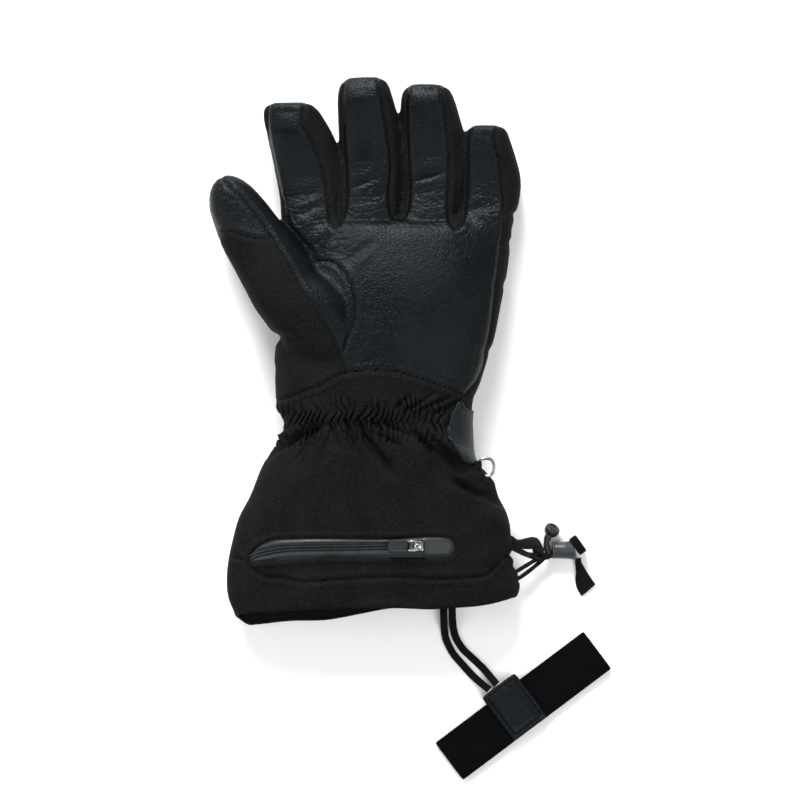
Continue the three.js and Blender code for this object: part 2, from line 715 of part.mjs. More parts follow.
// Zip inlay: its outline in shares of the zip's length and width, from its middle
const zipPlace = onBody({ across: -0.123, along: 0.305 });
const zipOutline = [
  { x: -0.5, y: -0.42 },
  { x: -0.49, y: -0.12 },
  { x: -0.43, y: 0.22 },
  { x: -0.33, y: 0.45 },
  { x: -0.1, y: 0.5 },
  { x: 0.3, y: 0.52 },
  { x: 0.45, y: 0.5 },
  { x: 0.49, y: 0.3 },
  { x: 0.505, y: 0.0 },
  { x: 0.49, y: -0.34 },
  { x: 0.45, y: -0.52 },
  { x: 0.1, y: -0.47 },
  { x: -0.33, y: -0.6 },
  { x: -0.46, y: -0.62 },
].map(({ x, y }) => new THREE.Vector2(zipPlace.x + x * zipLength, zipPlace.y + y * zipWidth));
const onZip = (x, y) => new THREE.Vector2(zipPlace.x + x * zipLength, zipPlace.y + y * zipWidth);

const skin = (thickness) => outerBody(seamGap + thickness).subtract(outerBody(seamGap));
const bodyClearance = outerBody(seamGap);

// Leather patch round the little finger's side of the wrist
const patchOutline = [
  { across: 1.3, along: 0.995 },
  { across: 0.87, along: 0.99 },
  { across: 0.83, along: 0.92 },
  { across: 0.75, along: 0.858 },
  { across: 0.71, along: 0.811 },
  { across: 0.81, along: 0.74 },
  { across: 0.9, along: 0.698 },
  { across: 1.3, along: 0.69 },
].map(onBody);

// Smooth patch over the zip's closed end
const garageOutline = [
  [0.345, 0.34],
  [0.46, 0.34],
  [0.485, 0.15],
  [0.485, -0.25],
  [0.46, -0.4],
  [0.345, -0.4],
].map(([x, y]) => onZip(x, y));

// Coil of the closed zip, along the inlay up to the slider
const sliderShare = 0.302;
const coilWidth = 2.8;
const coilHeight = 0.9;

function zipCoil() {
  const end = sliderShare - (sliderLength / 2 + seamGap) / zipLength;
  const shares = spread(-0.44, end, 22);
  const rings = shares.map((share) => {
    const place = onZip(share, share < -0.3 ? 0.12 + (share + 0.3) * 1.6 : 0.12);
    const floor = topAt(place.x, place.y) + seamGap;
    const corners = [[-1, 0], [-1, 1], [1, 1], [1, 0]];
    const ring = corners.map(([side, up]) => {
      return new THREE.Vector3(place.x, place.y + (side * coilWidth) / 2, floor + up * coilHeight);
    });
    ring.shares = [0, 0.5, 1, 1.5];
    return ring;
  });
  return loft(rings);
}

// Extruded outline with named placement helpers
function plate(points, thickness, hole) {
  const shape = new THREE.Shape(points);
  if (hole) shape.holes.push(new THREE.Path(hole));
  return new THREE.ExtrudeGeometry(shape, { depth: thickness, bevelEnabled: false, steps: 1 });
}

const corner = (x, y) => new THREE.Vector2(x, y);
const rectangle = (x0, y0, x1, y1) => [corner(x0, y0), corner(x1, y0), corner(x1, y1), corner(x0, y1)];

function roundedRectangle(width, height, radius, steps = 3) {
  const points = [];
  const centres = [[1, 1], [-1, 1], [-1, -1], [1, -1]];
  centres.forEach(([sx, sy], k) => {
    for (let i = 0; i <= steps; i += 1) {
      const angle = (k + i / steps) * (Math.PI / 2);
      const cx = sx * (width / 2 - radius);
      const cy = sy * (height / 2 - radius);
      points.push(corner(cx + radius * Math.cos(angle), cy + radius * Math.sin(angle)));
    }
  });
  return points;
}

const moved = (geometry, x, y, z) => geometry.clone().translate(x, y, z);

// Zip slider: a tapered plate with a bridge, and a pull that turns under the bridge.
// Its own frame has the hinge over the origin, the plate's underside at height 0
const plateHeight = 1.7;
const bridgeWidth = 2.6;
const bridgeWall = 1;
const bridgeHole = { length: 3, height: 2 };
const hingeHeight = plateHeight + bridgeHole.height / 2;

function slider() {
  const half = sliderLength / 2;
  const outline = [
    corner(-half, -sliderWidth * 0.34),
    corner(half * 0.3, -sliderWidth / 2),
    corner(half * 0.85, -sliderWidth * 0.42),
    corner(half, 0),
    corner(half * 0.85, sliderWidth * 0.42),
    corner(half * 0.3, sliderWidth / 2),
    corner(-half, sliderWidth * 0.34),
  ];
  const base = solid(plate(outline, plateHeight));
  const sink = 0.4;
  const reach = bridgeHole.length / 2 + bridgeWall;
  const top = plateHeight + bridgeHole.height + bridgeWall;
  const arch = plate(
    [
      corner(-reach, plateHeight - sink),
      corner(reach, plateHeight - sink),
      corner(reach, top - bridgeWall * 0.6),
      corner(reach - bridgeWall * 0.6, top),
      corner(-reach + bridgeWall * 0.6, top),
      corner(-reach, top - bridgeWall * 0.6),
    ],
    bridgeWidth,
    rectangle(-bridgeHole.length / 2, plateHeight, bridgeHole.length / 2, plateHeight + bridgeHole.height),
  );
  arch.rotateX(Math.PI / 2).translate(0, bridgeWidth / 2, 0);
  return geometryOf(base.add(solid(arch)));
}

function pullLink() {
  const clear = 0.4;
  const innerWidth = bridgeWidth + 2 * clear;
  const outer = rectangle(-pullRingLength + pullWire / 2, -innerWidth / 2 - pullWire, pullWire / 2, innerWidth / 2 + pullWire);
  const inner = rectangle(-pullRingLength + pullWire * 1.5, -innerWidth / 2, -pullWire / 2, innerWidth / 2);
  return moved(plate(outer, pullWire, inner), 0, 0, hingeHeight - pullWire / 2);
}

function pullTab() {
  const outline = roundedRectangle(pullTabLength, pullTabWidth, 1.6);
  const middle = -pullRingLength + pullWire * 2 - pullTabLength / 2;
  const block = solid(moved(plate(outline, pullTabThickness + pullWire), middle, 0, hingeHeight - pullWire / 2 - 0.6));
  const slotWidth = bridgeWidth + 2 * pullWire + 5 * seamGap;
  const slot = rectangle(-pullRingLength + pullWire / 2 - seamGap, -slotWidth / 2, 0, slotWidth / 2);
  const room = moved(plate(slot, pullWire + 2 * seamGap), 0, 0, hingeHeight - pullWire / 2 - seamGap);
  return geometryOf(block.subtract(solid(room)));
}

// Ring at the wrist's side, and the webbing that holds it
const ringPlace = { across: 1.1, along: 0.686 };
const ringSpot = onBody(ringPlace);
const tailStart = corner(ringSpot.x - ringOuter / 2 - 3.4, ringSpot.y + 1.5);
const loopRadius = ringWire / 2 + seamGap;
const ringHeight = topAt(tailStart.x, tailStart.y) + patchThickness + 4 * seamGap + webbingThickness / 2;

function sideRing() {
  const outer = roundedRectangle(ringOuter, ringOuter * 1.06, ringOuter * 0.36, 4);
  const inner = roundedRectangle(ringOuter - 2 * ringWire, ringOuter * 1.06 - 2 * ringWire, ringOuter * 0.2, 4);
  return moved(plate(outer, ringWire, inner), ringSpot.x, ringSpot.y, ringHeight - ringWire / 2);
}

function ringWebbing() {
  const barCentre = ringSpot.x - ringOuter / 2 + ringWire / 2;
  const steps = 14;
  const circle = (radius, k) => corner(radius * Math.cos(k), radius * Math.sin(k));
  const outerRadius = Math.SQRT2 * loopRadius + webbingThickness;
  const tailEnd = tailStart.x - barCentre - 3;
  const tailHalf = webbingThickness / 2;
  const startAngle = Math.PI - Math.asin(tailHalf / outerRadius);
  const arc = spread(startAngle, -startAngle, steps).map((angle) => circle(outerRadius, angle));
  const outline = [...arc, corner(tailEnd, -tailHalf), corner(tailEnd, tailHalf)];
  const hole = spread(0, 2 * Math.PI, 11).slice(0, -1).map((angle) => circle(Math.SQRT2 * loopRadius, angle));
  const strap = plate(outline, ringLoopWidth, hole);
  strap.rotateX(Math.PI / 2).translate(barCentre, ringSpot.y + ringLoopWidth / 2, ringHeight);
  return geometryOf(solid(strap).subtract(outerBody(2 * seamGap + patchThickness)));
}

// Round or flat section carried along a smooth path
function tube(points, section, steps) {
  const path = new THREE.CatmullRomCurve3(points);
  return new THREE.ExtrudeGeometry(new THREE.Shape(section), { steps, extrudePath: path, bevelEnabled: false });
}

const round = (diameter, sides) =>
  spread(0, 2 * Math.PI, sides + 1).slice(0, -1).map((angle) => corner(Math.cos(angle), Math.sin(angle)).multiplyScalar(diameter / 2));

// Drawcord lock outside the little finger's side of the cuff; lengths from the lock's inner end
const cuffEdge = onBody({ across: 1, along: 0.3 });
const lockPlace = { x: cuffEdge.x + 25.5, y: cuffEdge.y - 1.5, z: lockDiameter / 2 + 0.2 };
const atLock = (x, y, z = 0) => new THREE.Vector3(lockPlace.x + x, lockPlace.y + y, lockPlace.z + z);

// Drawcord routes from the hem's corner to the lock's inner end
const drawcordUpperRoute = [
  atLock(-25, -14.5, 7),
  atLock(-20, -11.5, 6),
  atLock(-15, -8.6, 4),
  atLock(-10, -5.8, 2.6),
  atLock(-5, -3.8, 1.6),
  atLock(-0.4, -3.4, 1.5),
];
const drawcordLowerRoute = [
  atLock(-24, -19, 6),
  atLock(-19, -16, 5),
  atLock(-13.5, -12, 3.4),
  atLock(-8.5, -8, 1),
  atLock(-4, -4.4, -1.2),
  atLock(-0.4, -3.4, -1.5),
];

function lockBarrel() {
  const radius = lockDiameter / 2;
  const profile = [corner(0, 0), corner(radius * 0.82, 0), corner(radius, 1), corner(radius, lockLength * 0.55)];
  profile.push(corner(radius * 0.9, lockLength * 0.8), corner(radius * 0.95, lockLength), corner(0, lockLength));
  const barrel = new THREE.LatheGeometry(profile, 16);
  barrel.rotateZ(-Math.PI / 2);
  return barrel.translate(lockPlace.x, lockPlace.y, lockPlace.z);
}

const stalkRoute = [atLock(-2.9, 1.6, 1), atLock(-3.4, 5, 1), atLock(-2.8, 9, 0.6), atLock(-1.6, 12.5, 0.4)];

function lockKnob() {
  const stalk = tube(stalkRoute, round(lockStalkDiameter, 8), 6);
  const head = lockHeadDiameter / 2;
  const profile = [[0, -0.5], [0.7, -0.5], [1, -0.16], [1, 0.16], [0.7, 0.5], [0, 0.5]];
  const disc = new THREE.LatheGeometry(profile.map(([r, h]) => corner(r * head, h * head * 1.5)), 14);
  disc.rotateX(Math.PI / 2);
  const place = atLock(-0.6, 13.5, 0.4);
  disc.translate(place.x, place.y, place.z);
  return geometryOf(solid(stalk).add(solid(disc)));
}

function lockEnd() {
  const band = plate(roundedRectangle(lockDiameter * 0.8, lockDiameter * 0.9, 2.4), lockEndLength);
  band.rotateY(Math.PI / 2).rotateZ(0.5);
  const place = atLock(lockLength + 3, 1.2, 0.7);
  return band.translate(place.x, place.y, place.z);
}

// Ribbon end that hangs from the lock, lying on the ground
const tailRows = [
  [15.2, 3, 18.8, 5],
  [14.8, -6, 18.8, -5.6],
  [15, -13, 19.4, -12],
  [15.4, -20, 22, -17],
  [16.6, -25, 24.6, -20],
  [18.6, -29, 26.6, -22.4],
];
const tailOutline = [
  ...tailRows.map(([x, y]) => corner(lockPlace.x + x, lockPlace.y + y)),
  ...[...tailRows].reverse().map(([, , x, y]) => corner(lockPlace.x + x, lockPlace.y + y)),
];

// Ribbon from the cuff's edge that holds the lock, split in two round a small gap
const ribbonSlope = 0.34;
function lockRibbon() {
  const outline = [
    [-30, 7], [-20, 9.6], [-14, 8], [-6, 9.2], [-0.8, 8], [-0.6, 1.6], [-3.4, -1.6], [-8, -4.6], [-15, -2], [-23, 2.6], [-30, 4.6],
  ];
  const hole = [[-11, 0.4], [-6.6, -1.4], [-6, 0.4], [-8, 1.6]];
  const ribbon = plate(outline.map(([x, y]) => corner(x, y)), ribbonThickness, hole.map(([x, y]) => corner(x, y)));
  ribbon.rotateY(ribbonSlope).translate(lockPlace.x, lockPlace.y, lockPlace.z + 1.2);
  const stalkRoom = tube(stalkRoute, round(lockStalkDiameter + 3 * seamGap, 10), 6);
  return solid(ribbon).subtract(bodyClearance).subtract(solid(stalkRoom));
}

// Leash: two flat strands from inside the hem, over the back layer's edge, to the tab on the band
const leashStart = onBody({ across: 0.575, along: 0 });
const leashSection = bodySection(0);
const leashDrop = (leashSection.middle - cuffWall) * roundRise(0.575, restPower);
const insideLay = leashSection.middle - leashDrop + 3 * seamGap + leashThickness / 2;
const groundLay = leashThickness / 2 + 0.25;
const tabLay = bandLift + bandHeight + seamGap + tabThickness / 2;
const atLeash = (x, y, z) => new THREE.Vector3(leashStart.x + x, leashStart.y + y, z);
const leashRouteA = [
  atLeash(-2.5, 13.6, insideLay),
  atLeash(-2.2, 3.7, insideLay),
  atLeash(-2, -5, insideLay),
  atLeash(-1.6, -12, groundLay + 0.4),
  atLeash(-0.4, -18.4, groundLay),
  atLeash(3.7, -26.7, groundLay),
  atLeash(9.9, -34.1, groundLay),
  atLeash(16.1, -40.9, groundLay + 0.2),
  atLeash(21.4, -45.4, tabLay * 0.7),
  atLeash(26.2, -49.2, tabLay),
];
const leashRouteB = [
  atLeash(2.8, 13.6, insideLay),
  atLeash(3.1, 3.7, insideLay),
  atLeash(3.4, -5, insideLay),
  atLeash(4, -11, groundLay + 0.4),
  atLeash(5.6, -17, groundLay),
  atLeash(9.8, -24, groundLay),
  atLeash(15.8, -29.8, groundLay),
  atLeash(22.3, -36, groundLay + 0.2),
  atLeash(26.8, -41, tabLay * 0.7),
  atLeash(30.9, -45.8, tabLay),
];

// Flat strap carried along a smooth path, always level across
function strap(route, width, thickness, steps) {
  const path = new THREE.CatmullRomCurve3(route);
  const rings = spread(0, 1, steps).map((share) => {
    const point = path.getPoint(share);
    const way = path.getTangent(share);
    const side = new THREE.Vector3(way.y, -way.x, 0).normalize();
    const up = new THREE.Vector3().crossVectors(side, way).normalize();
    const corners = [[1, -1], [1, 1], [-1, 1], [-1, -1]];
    const ring = corners.map(([a, b]) => {
      return point.clone().addScaledVector(side, (a * width) / 2).addScaledVector(up, (b * thickness) / 2);
    });
    ring.shares = [0, 0.5, 1, 1.5];
    return ring;
  });
  return loft(rings);
}

const bandTurn = Math.atan2(109, 145);
const bandPlace = { x: leashStart.x + 47.6, y: leashStart.y - 59.5 };

function wristBand() {
  const outer = roundedRectangle(bandLength, bandHeight, bandHeight / 2 - 0.05);
  const inner = roundedRectangle(bandLength - 2 * bandLayer, bandGap, bandGap / 2 - 0.05);
  const band = plate(outer, bandWidth, inner);
  band.rotateX(Math.PI / 2).translate(0, bandWidth / 2, bandHeight / 2 + bandLift).rotateZ(bandTurn);
  return band.translate(bandPlace.x, bandPlace.y, 0);
}

const tabShift = { x: -4.8, y: 3 };
const tabReach = tabLength + 5;

function leashTab(grow = 0) {
  const tab = plate(roundedRectangle(tabWidth + 2 * grow, tabReach + 2 * grow, 2), tabThickness + 2 * grow);
  tab.translate(tabShift.x, tabShift.y, bandHeight + bandLift + seamGap - grow).rotateZ(bandTurn);
  return tab.translate(bandPlace.x, bandPlace.y, 0);
}

function leashStrand(route) {
  return geometryOf(solid(strap(route, leashWidth, leashThickness, 26)).subtract(solid(leashTab(seamGap))));
}

// Everything that the glove itself holds, and the loose cords with what is on them
const glove = new THREE.Group();
const loose = new THREE.Group();
const finishes = {
  leather: { color: 0x202425, roughness: 0.5, metalness: 0 },
  softshell: { color: 0x141414, roughness: 0.95, metalness: 0 },
  rubber: { color: 0x24292b, roughness: 0.55, metalness: 0 },
  webbing: { color: 0x151618, roughness: 0.9, metalness: 0 },
  metal: { color: 0xb9bbbc, roughness: 0.25, metalness: 1 },
  plastic: { color: 0x1b1e20, roughness: 0.4, metalness: 0 },
};
const leatherPanels = ['palm_leather', 'thumb_leather', 'thumb_tip_cap'];

function add(name, geometry, finish, group = glove) {
  const mesh = new THREE.Mesh(geometry, new THREE.MeshStandardMaterial(finishes[finish]));
  mesh.name = name;
  group.add(mesh);
  return mesh;
}

const zipHole = prism(grown(zipOutline, seamGap / 2), -1, tall);
const zipBlock = prism(grown(zipOutline, -seamGap / 2), -1, tall);
Object.entries(panelSpots).forEach(([name, [panels, spot]]) => {
  const whole = panelAt(panels, spot);
  const shape = name === 'gauntlet_front' ? whole.subtract(zipHole) : whole;
  add(name, geometryOf(shape), leatherPanels.includes(name) ? 'leather' : 'softshell');
  if (name === 'gauntlet_front') add('zip_inlay', geometryOf(whole.intersect(zipBlock)), 'rubber');
});

add('wrist_patch', geometryOf(skin(patchThickness).intersect(prism(patchOutline, -1, tall))), 'leather');
add('zip_garage', geometryOf(skin(0.8).intersect(prism(garageOutline, wristHeight / 2, tall))), 'rubber');
add('zip_coil', zipCoil(), 'plastic');

const sliderSpot = onZip(sliderShare, 0.12);
const sliderSlope = (topAt(sliderSpot.x + 4, sliderSpot.y) - topAt(sliderSpot.x - 4, sliderSpot.y)) / 8;
const sliderGroup = new THREE.Group();
sliderGroup.position.set(sliderSpot.x, sliderSpot.y, topAt(sliderSpot.x, sliderSpot.y) + 2 * seamGap);
sliderGroup.rotation.y = -Math.atan(sliderSlope);
glove.add(sliderGroup);
add('zip_slider', slider(), 'metal', sliderGroup);
add('zip_pull_link', pullLink(), 'metal', sliderGroup);
add('zip_pull_tab', pullTab(), 'rubber', sliderGroup);

add('side_ring', sideRing(), 'metal');
add('ring_webbing', ringWebbing(), 'webbing');
add('lock_ribbon', geometryOf(lockRibbon()), 'rubber');

const seated = (geometry) => geometryOf(solid(geometry).subtract(bodyClearance));
add('drawcord_upper', seated(tube(drawcordUpperRoute, round(drawcordDiameter, 8), 12)), 'webbing', loose);
add('drawcord_lower', seated(tube(drawcordLowerRoute, round(drawcordDiameter, 8), 12)), 'webbing', loose);
add('cord_lock_barrel', lockBarrel(), 'plastic', loose);
add('cord_lock_knob', lockKnob(), 'plastic', loose);
add('cord_lock_end', lockEnd(), 'webbing', loose);
add('pull_ribbon', plate(tailOutline, ribbonThickness).translate(0, 0, 0.2), 'webbing', loose);
add('leash_strand_a', leashStrand(leashRouteA), 'webbing', loose);
add('leash_strand_b', leashStrand(leashRouteB), 'webbing', loose);
add('leash_tab', leashTab(), 'leather', loose);
add('wrist_loop_band', wristBand(), 'webbing', loose);

// The origin lies on the ground under the middle of the glove
glove.updateMatrixWorld(true);
const extent = new THREE.Box3().setFromObject(glove, true);
const part = new THREE.Group();
part.add(glove, loose);
const shift = new THREE.Vector3(-(extent.min.x + extent.max.x) / 2, -(extent.min.y + extent.max.y) / 2, -extent.min.z);
[glove, loose].forEach((group) => group.position.copy(shift));

export default part;
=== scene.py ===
import math
import bpy
import numpy as np
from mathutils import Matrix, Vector
from mathutils.bvhtree import BVHTree


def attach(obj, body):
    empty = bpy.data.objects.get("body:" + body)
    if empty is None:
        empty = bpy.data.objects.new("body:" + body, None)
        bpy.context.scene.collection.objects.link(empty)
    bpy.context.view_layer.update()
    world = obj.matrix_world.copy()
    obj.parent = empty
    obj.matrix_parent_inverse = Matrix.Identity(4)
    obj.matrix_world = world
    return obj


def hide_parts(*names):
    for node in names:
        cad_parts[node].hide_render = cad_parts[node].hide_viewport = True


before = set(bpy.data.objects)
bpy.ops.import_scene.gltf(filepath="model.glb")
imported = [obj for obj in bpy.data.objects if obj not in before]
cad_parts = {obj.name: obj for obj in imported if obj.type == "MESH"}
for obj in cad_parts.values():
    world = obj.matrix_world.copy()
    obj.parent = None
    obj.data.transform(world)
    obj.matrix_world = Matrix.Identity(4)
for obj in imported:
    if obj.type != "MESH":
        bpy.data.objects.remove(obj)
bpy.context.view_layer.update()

# Heated winter glove for the left hand, lying palm up. Lengths in this script are millimetres
# in the frame of the solids; putMesh turns them to metres.
millimetre = 0.001


# meshes
def putMesh(name, points, faces, smooth=True):
    # points N x 3 in millimetres, faces M x 3 or M x 4
    mesh = bpy.data.meshes.new(name)
    count, sides = faces.shape
    mesh.vertices.add(len(points))
    mesh.vertices.foreach_set("co", (points * millimetre).astype(np.float32).ravel())
    mesh.loops.add(count * sides)
    mesh.loops.foreach_set("vertex_index", faces.astype(np.int32).ravel())
    mesh.polygons.add(count)
    mesh.polygons.foreach_set("loop_start", np.arange(0, count * sides, sides, dtype=np.int32))
    mesh.polygons.foreach_set("use_smooth", np.full(count, smooth))
    mesh.update(calc_edges=True)
    mesh.validate()
    made = bpy.data.objects.new(name, mesh)
    bpy.context.collection.objects.link(made)
    return made


def arraysOf(piece):
    # points in millimetres and triangles of a piece with its modifiers
    graph = bpy.context.evaluated_depsgraph_get()
    shaped = piece.evaluated_get(graph)
    mesh = shaped.to_mesh()
    mesh.calc_loop_triangles()
    points = np.empty(len(mesh.vertices) * 3, dtype=np.float32)
    mesh.vertices.foreach_get("co", points)
    faces = np.empty(len(mesh.loop_triangles) * 3, dtype=np.int32)
    mesh.loop_triangles.foreach_get("vertices", faces)
    shaped.to_mesh_clear()
    return points.reshape(-1, 3).astype(float) / millimetre, faces.reshape(-1, 3)


def dress(piece, finish, body="glove", stands=(), crease=None):
    # finish, body and the solids that a piece stands for; crease in degrees keeps hard edges crisp
    piece.data.materials.clear()
    piece.data.materials.append(finish)
    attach(piece, body)
    if stands:
        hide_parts(*stands)
    if crease is not None:
        piece.data.set_sharp_from_angle(angle=math.radians(crease))
    return piece


def modify(piece, kind, **settings):
    # one modifier with its settings
    made = piece.modifiers.new(kind.title(), kind)
    for key, value in settings.items():
        setattr(made, key, value)
    return made


def gridFaces(rows, columns, around=True):
    # quads between neighbouring rows and columns of a grid; around closes the columns to a ring
    r = np.arange(rows - 1)[:, None]
    c = np.arange(columns if around else columns - 1)[None, :]
    d = (c + 1) % columns
    quad = [r * columns + c, r * columns + d, (r + 1) * columns + d, (r + 1) * columns + c]
    return np.stack([np.broadcast_to(q, (rows - 1, c.size)) for q in quad], -1).reshape(-1, 4)


def triangles(quads):
    # each quad as two triangles
    return np.concatenate([quads[:, [0, 1, 2]], quads[:, [0, 2, 3]]])


def closedGrid(rings):
    # rings is rows x columns x 3; the ends are closed by a fan to their middle
    rows, columns = rings.shape[:2]
    points = np.concatenate([rings.reshape(-1, 3), rings[0].mean(0)[None], rings[-1].mean(0)[None]])
    faces = triangles(gridFaces(rows, columns))
    k = np.arange(columns)
    start = np.stack([k * 0 + rows * columns, (k + 1) % columns, k], -1)
    last = (rows - 1) * columns
    end = np.stack([k * 0 + rows * columns + 1, last + k, last + (k + 1) % columns], -1)
    return points, np.concatenate([faces, start, end])


def facingOut(points, faces):
    # turned round where the faces enclose a negative volume
    a, b, c = points[faces].transpose(1, 0, 2)
    inward = np.einsum("ij,ij->i", a, np.cross(b, c)).sum() < 0
    return points, faces[:, ::-1] if inward else faces


def slab(top, low):
    # two equal grids of points, closed by a wall between their borders
    rows, columns = top.shape[:2]
    count = rows * columns
    sheet = triangles(gridFaces(rows, columns, around=False))
    rim = np.concatenate([
        np.arange(columns), np.arange(1, rows) * columns + columns - 1,
        (rows - 1) * columns + np.arange(columns - 2, -1, -1), np.arange(rows - 2, 0, -1) * columns])
    wall = triangles(np.stack([rim, np.roll(rim, -1), np.roll(rim, -1) + count, rim + count], -1))
    points = np.concatenate([top.reshape(-1, 3), low.reshape(-1, 3)])
    return facingOut(points, np.concatenate([sheet, sheet[:, ::-1] + count, wall[:, ::-1]]))


def smoothLine(route, count, closed=False):
    # Catmull-Rom curve through the route's points, at even steps of its length
    p = np.asarray(route, dtype=float)
    if closed:
        p = np.concatenate([p[-1:], p, p[:2]])
    else:
        p = np.concatenate([2 * p[:1] - p[1:2], p, 2 * p[-1:] - p[-2:-1]])
    t = np.linspace(0, 1, 24, endpoint=False)[None, :, None]
    a, b, c, d = p[:-3, None], p[1:-2, None], p[2:-1, None], p[3:, None]
    curve = 0.5 * (2 * b + (c - a) * t + (2 * a - 5 * b + 4 * c - d) * t ** 2
                   + (3 * b - a - 3 * c + d) * t ** 3)
    curve = np.concatenate([curve.reshape(-1, p.shape[1]), p[-2:-1]])
    far = np.concatenate([[0], np.cumsum(np.linalg.norm(np.diff(curve, axis=0), axis=1))])
    even = np.linspace(0, far[-1], count, endpoint=not closed)
    return np.stack([np.interp(even, far, curve[:, k]) for k in range(p.shape[1])], -1)


def unit(v):
    # vectors divided by their lengths
    return v / np.maximum(np.linalg.norm(v, axis=-1, keepdims=True), 1e-9)


def carried(line, profile, up=(0, 0, 1), size=None):
    # a flat profile of (across, up) points carried along a line; size scales it at each point
    way = unit(np.gradient(line, axis=0))
    side = unit(np.cross(way, np.broadcast_to(up, way.shape)))
    rise = np.cross(side, way)
    scale = np.ones(len(line)) if size is None else size
    rings = (line[:, None] + side[:, None] * profile[None, :, :1] * scale[:, None, None]
             + rise[:, None] * profile[None, :, 1:] * scale[:, None, None])
    return rings


def roundProfile(width, height, sides, power=2.0):
    # superellipse |x|^power + |y|^power = 1, of a full width and height
    a = np.linspace(0, 2 * math.pi, sides, endpoint=False)
    shape = lambda v: np.sign(v) * np.abs(v) ** (2 / power)
    return np.stack([shape(np.cos(a)) * width / 2, shape(np.sin(a)) * height / 2], -1)


def smoothstep(a, b, x):
    # t t (3 - 2 t) of the share t of the way from a to b
    t = np.clip((x - a) / (b - a), 0, 1)
    return t * t * (3 - 2 * t)


# camera and light: the span in millimetres that the picture shows at the glove's middle level
photoView = {
    "centre": (11.4, -31.4), "height": 2520, "level": 20, "span": 496, "sensor": 36,
    "floor": 0.95, "floorHalf": 3000, "key": 100, "fill": 20, "side": 9, "world": 0.44,
}


def makeStage():
    # camera high over the glove, pale floor and three soft lamps
    camera = bpy.data.objects.new("photoCamera", bpy.data.cameras.new("photoCamera"))
    bpy.context.collection.objects.link(camera)
    camera.data.sensor_width = photoView["sensor"]
    camera.data.lens = photoView["sensor"] * (photoView["height"] - photoView["level"]) / photoView["span"]
    camera.data.clip_end = 20
    camera.location = [c * millimetre for c in (*photoView["centre"], photoView["height"])]
    bpy.context.scene.camera = camera
    half, sunk = photoView["floorHalf"], -0.05
    corners = np.array([[-half, -half, sunk], [half, -half, sunk], [half, half, sunk],
                        [-half, half, sunk]], float)
    floor = putMesh("paleFloor", corners, np.array([[0, 1, 2, 3]]))
    pale = Finish("paleFloor")
    pale.set({"Base Color": (photoView["floor"],) * 3 + (1,), "Roughness": 0.9, "Specular IOR Level": 0.1})
    floor.data.materials.append(pale.material)
    lights = [
        # name, place, aim, size, power
        ("keyLight", (-0.4, 1.9, 1.25), (0, 0.05, 0), 1.0, photoView["key"]),
        ("fillLight", (0.9, -0.7, 1.6), (0, -0.05, 0), 1.4, photoView["fill"]),
        ("sideLight", (-1.3, -0.1, 1.0), (0, 0, 0), 0.9, photoView["side"]),
    ]
    for name, place, aim, size, power in lights:
        lamp = bpy.data.objects.new(name, bpy.data.lights.new(name, "AREA"))
        bpy.context.collection.objects.link(lamp)
        lamp.data.energy = power
        lamp.data.size = size
        lamp.location = place
        lamp.rotation_euler = (Vector(aim) - Vector(place)).to_track_quat("-Z", "Y").to_euler()
    world = bpy.data.worlds.new("softRoom")
    world.use_nodes = True
    world.node_tree.nodes["Background"].inputs[0].default_value = (1, 1, 1, 1)
    world.node_tree.nodes["Background"].inputs[1].default_value = photoView["world"]
    bpy.context.scene.world = world
    bpy.context.scene.view_settings.view_transform = "Standard"


# finishes
class Value:
    # one socket of a shader, with arithmetic that adds Math nodes
    def __init__(self, finish, socket):
        self.finish = finish
        self.socket = socket

    def math(self, operation, other=0.0, flip=False):
        first, second = (other, self) if flip else (self, other)
        return self.finish.node("ShaderNodeMath", {"operation": operation}, {0: first, 1: second})

    def __add__(self, other):
        return self.math("ADD", other)

    def __sub__(self, other):
        return self.math("SUBTRACT", other)

    def __rsub__(self, other):
        return self.math("SUBTRACT", other, flip=True)

    def __mul__(self, other):
        return self.math("MULTIPLY", other)

    def __truediv__(self, other):
        return self.math("DIVIDE", other)

    __radd__ = __add__
    __rmul__ = __mul__


